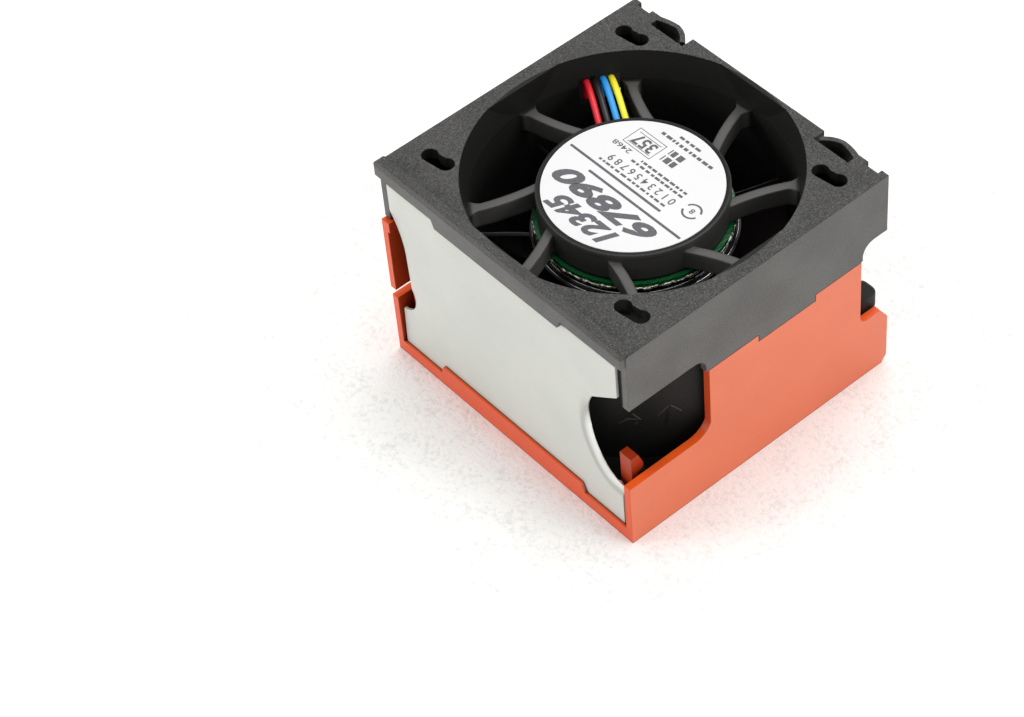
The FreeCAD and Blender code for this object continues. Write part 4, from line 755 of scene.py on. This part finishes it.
class FANMODULE_OT_label_print(bpy.types.Operator):
    """Print plain numbers, rules and bars on the hub label"""
    bl_idname = "fanmodule.label_print"
    bl_label = "Label print"

    def execute(self, context):
        """Rules, dashes and the frame are flat grids, the ring is two arcs between two radii, and the
        digits are a font's filled outlines, stretched to a length and laid on the label."""
        level = LABEL_TOP + 0.012
        shapes = []

        def bar(x_low, x_high, y_low, y_high):
            """Flat bar: a grid of two by two points."""
            xs, ys = np.meshgrid([x_low, x_high], [y_low, y_high])
            shapes.append(np.stack([xs, ys, np.full_like(xs, level, dtype=float)], axis=2))

        bar(-15.9, 8.4, -1.3, -0.75)
        bar(-8.5, 15.9, -3.4, -2.85)
        # small rows of dashes in place of small print
        random = np.random.default_rng(7)
        for y, x_start, x_end, tall in (
                (0.15, 8.0, -9.6, 0.5), (3.9, 8.6, -5.0, 0.55), (5.0, 8.6, -3.5, 0.55), (7.9, 1.8, -1.6, 1.5),
                (9.9, 1.8, -1.6, 1.5), (12.7, 7.0, -6.4, 0.7), (14.3, 2.2, -3.2, 0.6)):
            x = x_start
            while x > x_end:
                long = random.uniform(0.5, 1.4)
                bar(max(x - long, x_end), x, y, y + tall)
                x -= long + random.uniform(0.25, 0.5)
        # frame with two bars
        for x_low, x_high, y_low, y_high in ((-10.1, -2.9, 6.5, 6.65), (-10.1, -2.9, 11.0, 11.15),
                                             (-10.1, -9.95, 6.5, 11.15), (-3.05, -2.9, 6.5, 11.15),
                                             (-9.4, -3.6, 7.1, 7.25), (-9.4, -3.6, 10.2, 10.35)):
            bar(x_low, x_high, y_low, y_high)
        # broken ring
        ring_x, ring_y, ring_steps = 12.4, 3.0, 24
        radius = np.array([1.55, 1.95])[None, :]
        for start, end in ((20, 160), (200, 340)):
            angle = np.radians(np.linspace(start, end, ring_steps))[:, None]
            shapes.append(np.stack([ring_x + radius * np.cos(angle), ring_y + radius * np.sin(angle),
                                    np.full((ring_steps, 2), level)], axis=2))
        marks = piece_from_grids("label_marks", "casing", finish("label_ink"), shapes)
        for index, (text, x, y, size, length, bold, slant) in enumerate((
                ("12345", 7.9, -10.5, 5.4, 16.4, 0.24, 0.35),
                ("67890", 12.3, -4.9, 5.8, 25.0, 0.26, 0.35),
                ("0 1 2 3 4 5 6 7 8 9", 8.6, 2.9, 2.4, 17.2, 0.03, 0.0),
                ("2468", -6.6, 5.9, 1.6, 4.6, 0.02, 0.0),
                ("8", 12.9, 3.6, 1.7, 0.9, 0.03, 0.0),
                ("357", -3.9, 9.9, 3.6, 5.2, 0.1, 0.0))):
            curve = bpy.data.curves.new("digits", "FONT")
            curve.body = text
            curve.size = size
            curve.offset = bold
            curve.shear = slant
            curve.resolution_u = 4
            writing = bpy.data.objects.new("digits", curve)
            context.scene.collection.objects.link(writing)
            context.view_layer.update()
            mesh = bpy.data.meshes.new_from_object(writing.evaluated_get(context.evaluated_depsgraph_get()))
            bpy.data.objects.remove(writing)
            flat = np.zeros(len(mesh.vertices) * 3)
            mesh.vertices.foreach_get("co", flat)
            flat = flat.reshape(-1, 3)
            start, end = flat[:, 0].min(), flat[:, 0].max()
            along = (flat[:, 0] - start) * length / (end - start)
            placed = np.stack([x - along, y - flat[:, 1], np.full(len(flat), level)], axis=1)
            mesh.vertices.foreach_set("co", (placed * MM).ravel())
            mesh.name = "label_digits"
            mesh.materials.clear()
            digits = finish_piece("label_digits_%d" % index, "casing", finish("label_ink"), mesh)
        return {"FINISHED"}


class FANMODULE_OT_board_edge(bpy.types.Operator):
    """Make the uneven bead of solder along the circuit board's edge"""
    bl_idname = "fanmodule.board_edge"
    bl_label = "Board edge"

    def execute(self, context):
        """A bead about the fan axis whose radius, height and thickness are sums of sines of the angle."""
        settings = context.scene.fan_pieces
        steps = settings.around * 4
        angle = np.linspace(0, 2 * np.pi, steps, endpoint=False)
        radius = BOARD_RADIUS - 0.08 + wave(angle, ((17, 0.05, 0.3), (41, 0.05, 1.1), (97, 0.03, 2.0)))
        height = BOARD_LOW + 0.06 + wave(angle, ((13, 0.07, 0.7), (37, 0.08, 2.6), (83, 0.06, 0.2)))
        thick = 0.3 + wave(angle, ((11, 0.06, 1.9), (29, 0.09, 0.4), (71, 0.06, 1.3)))
        turn = np.linspace(0, 2 * np.pi, 10, endpoint=False)[None, :]
        ring = radius[:, None] + thick[:, None] * np.cos(turn)
        rise = height[:, None] + thick[:, None] * np.sin(turn)
        grid = np.stack([ring * np.cos(angle)[:, None], ring * np.sin(angle)[:, None], rise], axis=2)
        bead = piece_from_grids("board_solder_edge", "casing", finish("solder"), [grid], True, True)
        return {"FINISHED"}


class FANMODULE_OT_rotor_rims(bpy.types.Operator):
    """Make the bright rolled rims of the steel cup inside the impeller"""
    bl_idname = "fanmodule.rotor_rims"
    bl_label = "Rotor rims"

    def execute(self, context):
        """Circles turned about the fan axis, at the cup's edge and on the impeller hub's edge."""
        settings = context.scene.fan_pieces
        turn = np.linspace(0, 2 * np.pi, 12, endpoint=False)
        grids = []
        for radius, height, thick in ((YOKE_RADIUS - 0.2, YOKE_TOP + 0.05, 0.24),
                                      (YOKE_RADIUS + 0.62, ROTOR_TOP + 0.05, 0.17)):
            profile = np.stack([radius + thick * np.cos(turn), height + thick * np.sin(turn)], axis=1)
            grids.append(turned_profile(profile, settings.around))
        rims = piece_from_grids("rotor_cup_rims", "rotor", finish("bearing_steel"), grids, True, True)
        return {"FINISHED"}


class FANMODULE_OT_corner_post(bpy.types.Operator):
    """Make the black post that shields the carrier's clip behind the side tab"""
    bl_idname = "fanmodule.corner_post"
    bl_label = "Corner post"

    def execute(self, context):
        """A rounded square carried up from its foot and drawn in towards its crown:
        half width falls with the cosine of the rise."""
        middle_x, middle_y, half_x, half_y = 29.5, 28.95, 2.15, 2.5
        foot, shoulder, crown, steps = 14.2, 17.4, 1.4, 40
        turn = np.linspace(0, 2 * np.pi, steps, endpoint=False)
        shape = np.sign(np.cos(turn)) * np.abs(np.cos(turn)) ** 0.5
        other = np.sign(np.sin(turn)) * np.abs(np.sin(turn)) ** 0.5
        rise = np.concatenate([[foot, shoulder], shoulder + crown * np.sin(np.linspace(0.1, np.pi / 2, 10))])
        share = np.concatenate([[1, 1], np.cos(np.linspace(0.1, np.pi / 2 - 0.12, 10)) ** 0.6])
        share = share[:, None]
        grid = np.stack([middle_x + half_x * share * shape, middle_y + half_y * share * other,
                         np.broadcast_to(rise[:, None], (len(rise), steps))], axis=2)
        post = piece_from_grids("clip_post", "casing", finish("black_housing"), [grid],
                                loop_columns=True, cap=True)
        return {"FINISHED"}


class FANMODULE_OT_flow_arrows(bpy.types.Operator):
    """Make the raised arrows for the flow and the turning direction on the duct"""
    bl_idname = "fanmodule.flow_arrows"
    bl_label = "Direction arrows"

    def execute(self, context):
        """Ridges with a half-round section along lines of (angle in degrees, height) on the duct."""
        rise = context.scene.fan_pieces.arrow_rise / MM
        wall, half_width = 33.0, 0.24
        flow_tip, flow_base = (-32.2, 21.5), (-33.7, 16.5)
        turn_tip = (-41.6, 18.2)
        lines = (
            (flow_base, flow_tip), ((-36.0, 18.9), flow_tip), ((-28.6, 19.4), flow_tip),
            ((-48.8, 17.0), (-45.5, 18.5), turn_tip), ((-44.2, 19.9), turn_tip), ((-43.4, 16.9), turn_tip))
        grids = []
        across = np.linspace(-1, 1, 7)
        for line in lines:
            angle, height = np.array(line, float).T
            share = np.linspace(0, len(line) - 1, 14)
            angle = np.radians(np.interp(share, np.arange(len(line)), angle))
            height = np.interp(share, np.arange(len(line)), height)
            middle = np.stack([wall * angle, height], axis=1)
            along = np.gradient(middle, axis=0)
            along /= np.linalg.norm(along, axis=1)[:, None]
            side = np.stack([-along[:, 1], along[:, 0]], axis=1)
            flat = middle[:, None] + side[:, None] * (across * half_width)[None, :, None]
            crown = np.sqrt(np.maximum(1 - across ** 2, 0)) * rise
            radius = wall - 0.02 + crown[None, :] + 0 * flat[..., 0]
            turn = flat[..., 0] / wall
            top = np.stack([radius * np.cos(turn), radius * np.sin(turn), flat[..., 1]], axis=2)
            grids.append(top)
        arrows = piece_from_grids("duct_arrows", "casing", finish("impeller_black"), grids)
        return {"FINISHED"}


OPERATORS = (FANMODULE_OT_stage, FANMODULE_OT_finishes, FANMODULE_OT_cover_plate, FANMODULE_OT_leads,
             FANMODULE_OT_hub_rim, FANMODULE_OT_label_print, FANMODULE_OT_board_edge,
             FANMODULE_OT_rotor_rims, FANMODULE_OT_corner_post, FANMODULE_OT_flow_arrows)
GROUPS = (("fan_stage", StageSettings), ("fan_finishes", FinishSettings), ("fan_pieces", PieceSettings))


class FANMODULE_PT_panel(bpy.types.Panel):
    """Sizes, colours and pieces of the fan module"""
    bl_label = "Fan module"
    bl_idname = "FANMODULE_PT_panel"
    bl_space_type = "VIEW_3D"
    bl_region_type = "UI"
    bl_category = "Fan module"

    def draw(self, context):
        for attribute, group in GROUPS:
            box = self.layout.box()
            for name in group.__annotations__:
                box.prop(getattr(context.scene, attribute), name)
        for operator in OPERATORS:
            self.layout.operator(operator.bl_idname)


def register():
    for attribute, group in GROUPS:
        bpy.utils.register_class(group)
        setattr(bpy.types.Scene, attribute, PointerProperty(type=group))
    for item in (*OPERATORS, FANMODULE_PT_panel):
        bpy.utils.register_class(item)


def unregister():
    for item in (FANMODULE_PT_panel, *reversed(OPERATORS)):
        bpy.utils.unregister_class(item)
    for attribute, group in reversed(GROUPS):
        delattr(bpy.types.Scene, attribute)
        bpy.utils.unregister_class(group)


def main():
    register()
    for operator in OPERATORS:
        module, name = operator.bl_idname.split(".")
        getattr(getattr(bpy.ops, module), name)()


if __name__ == "__main__":
    main()
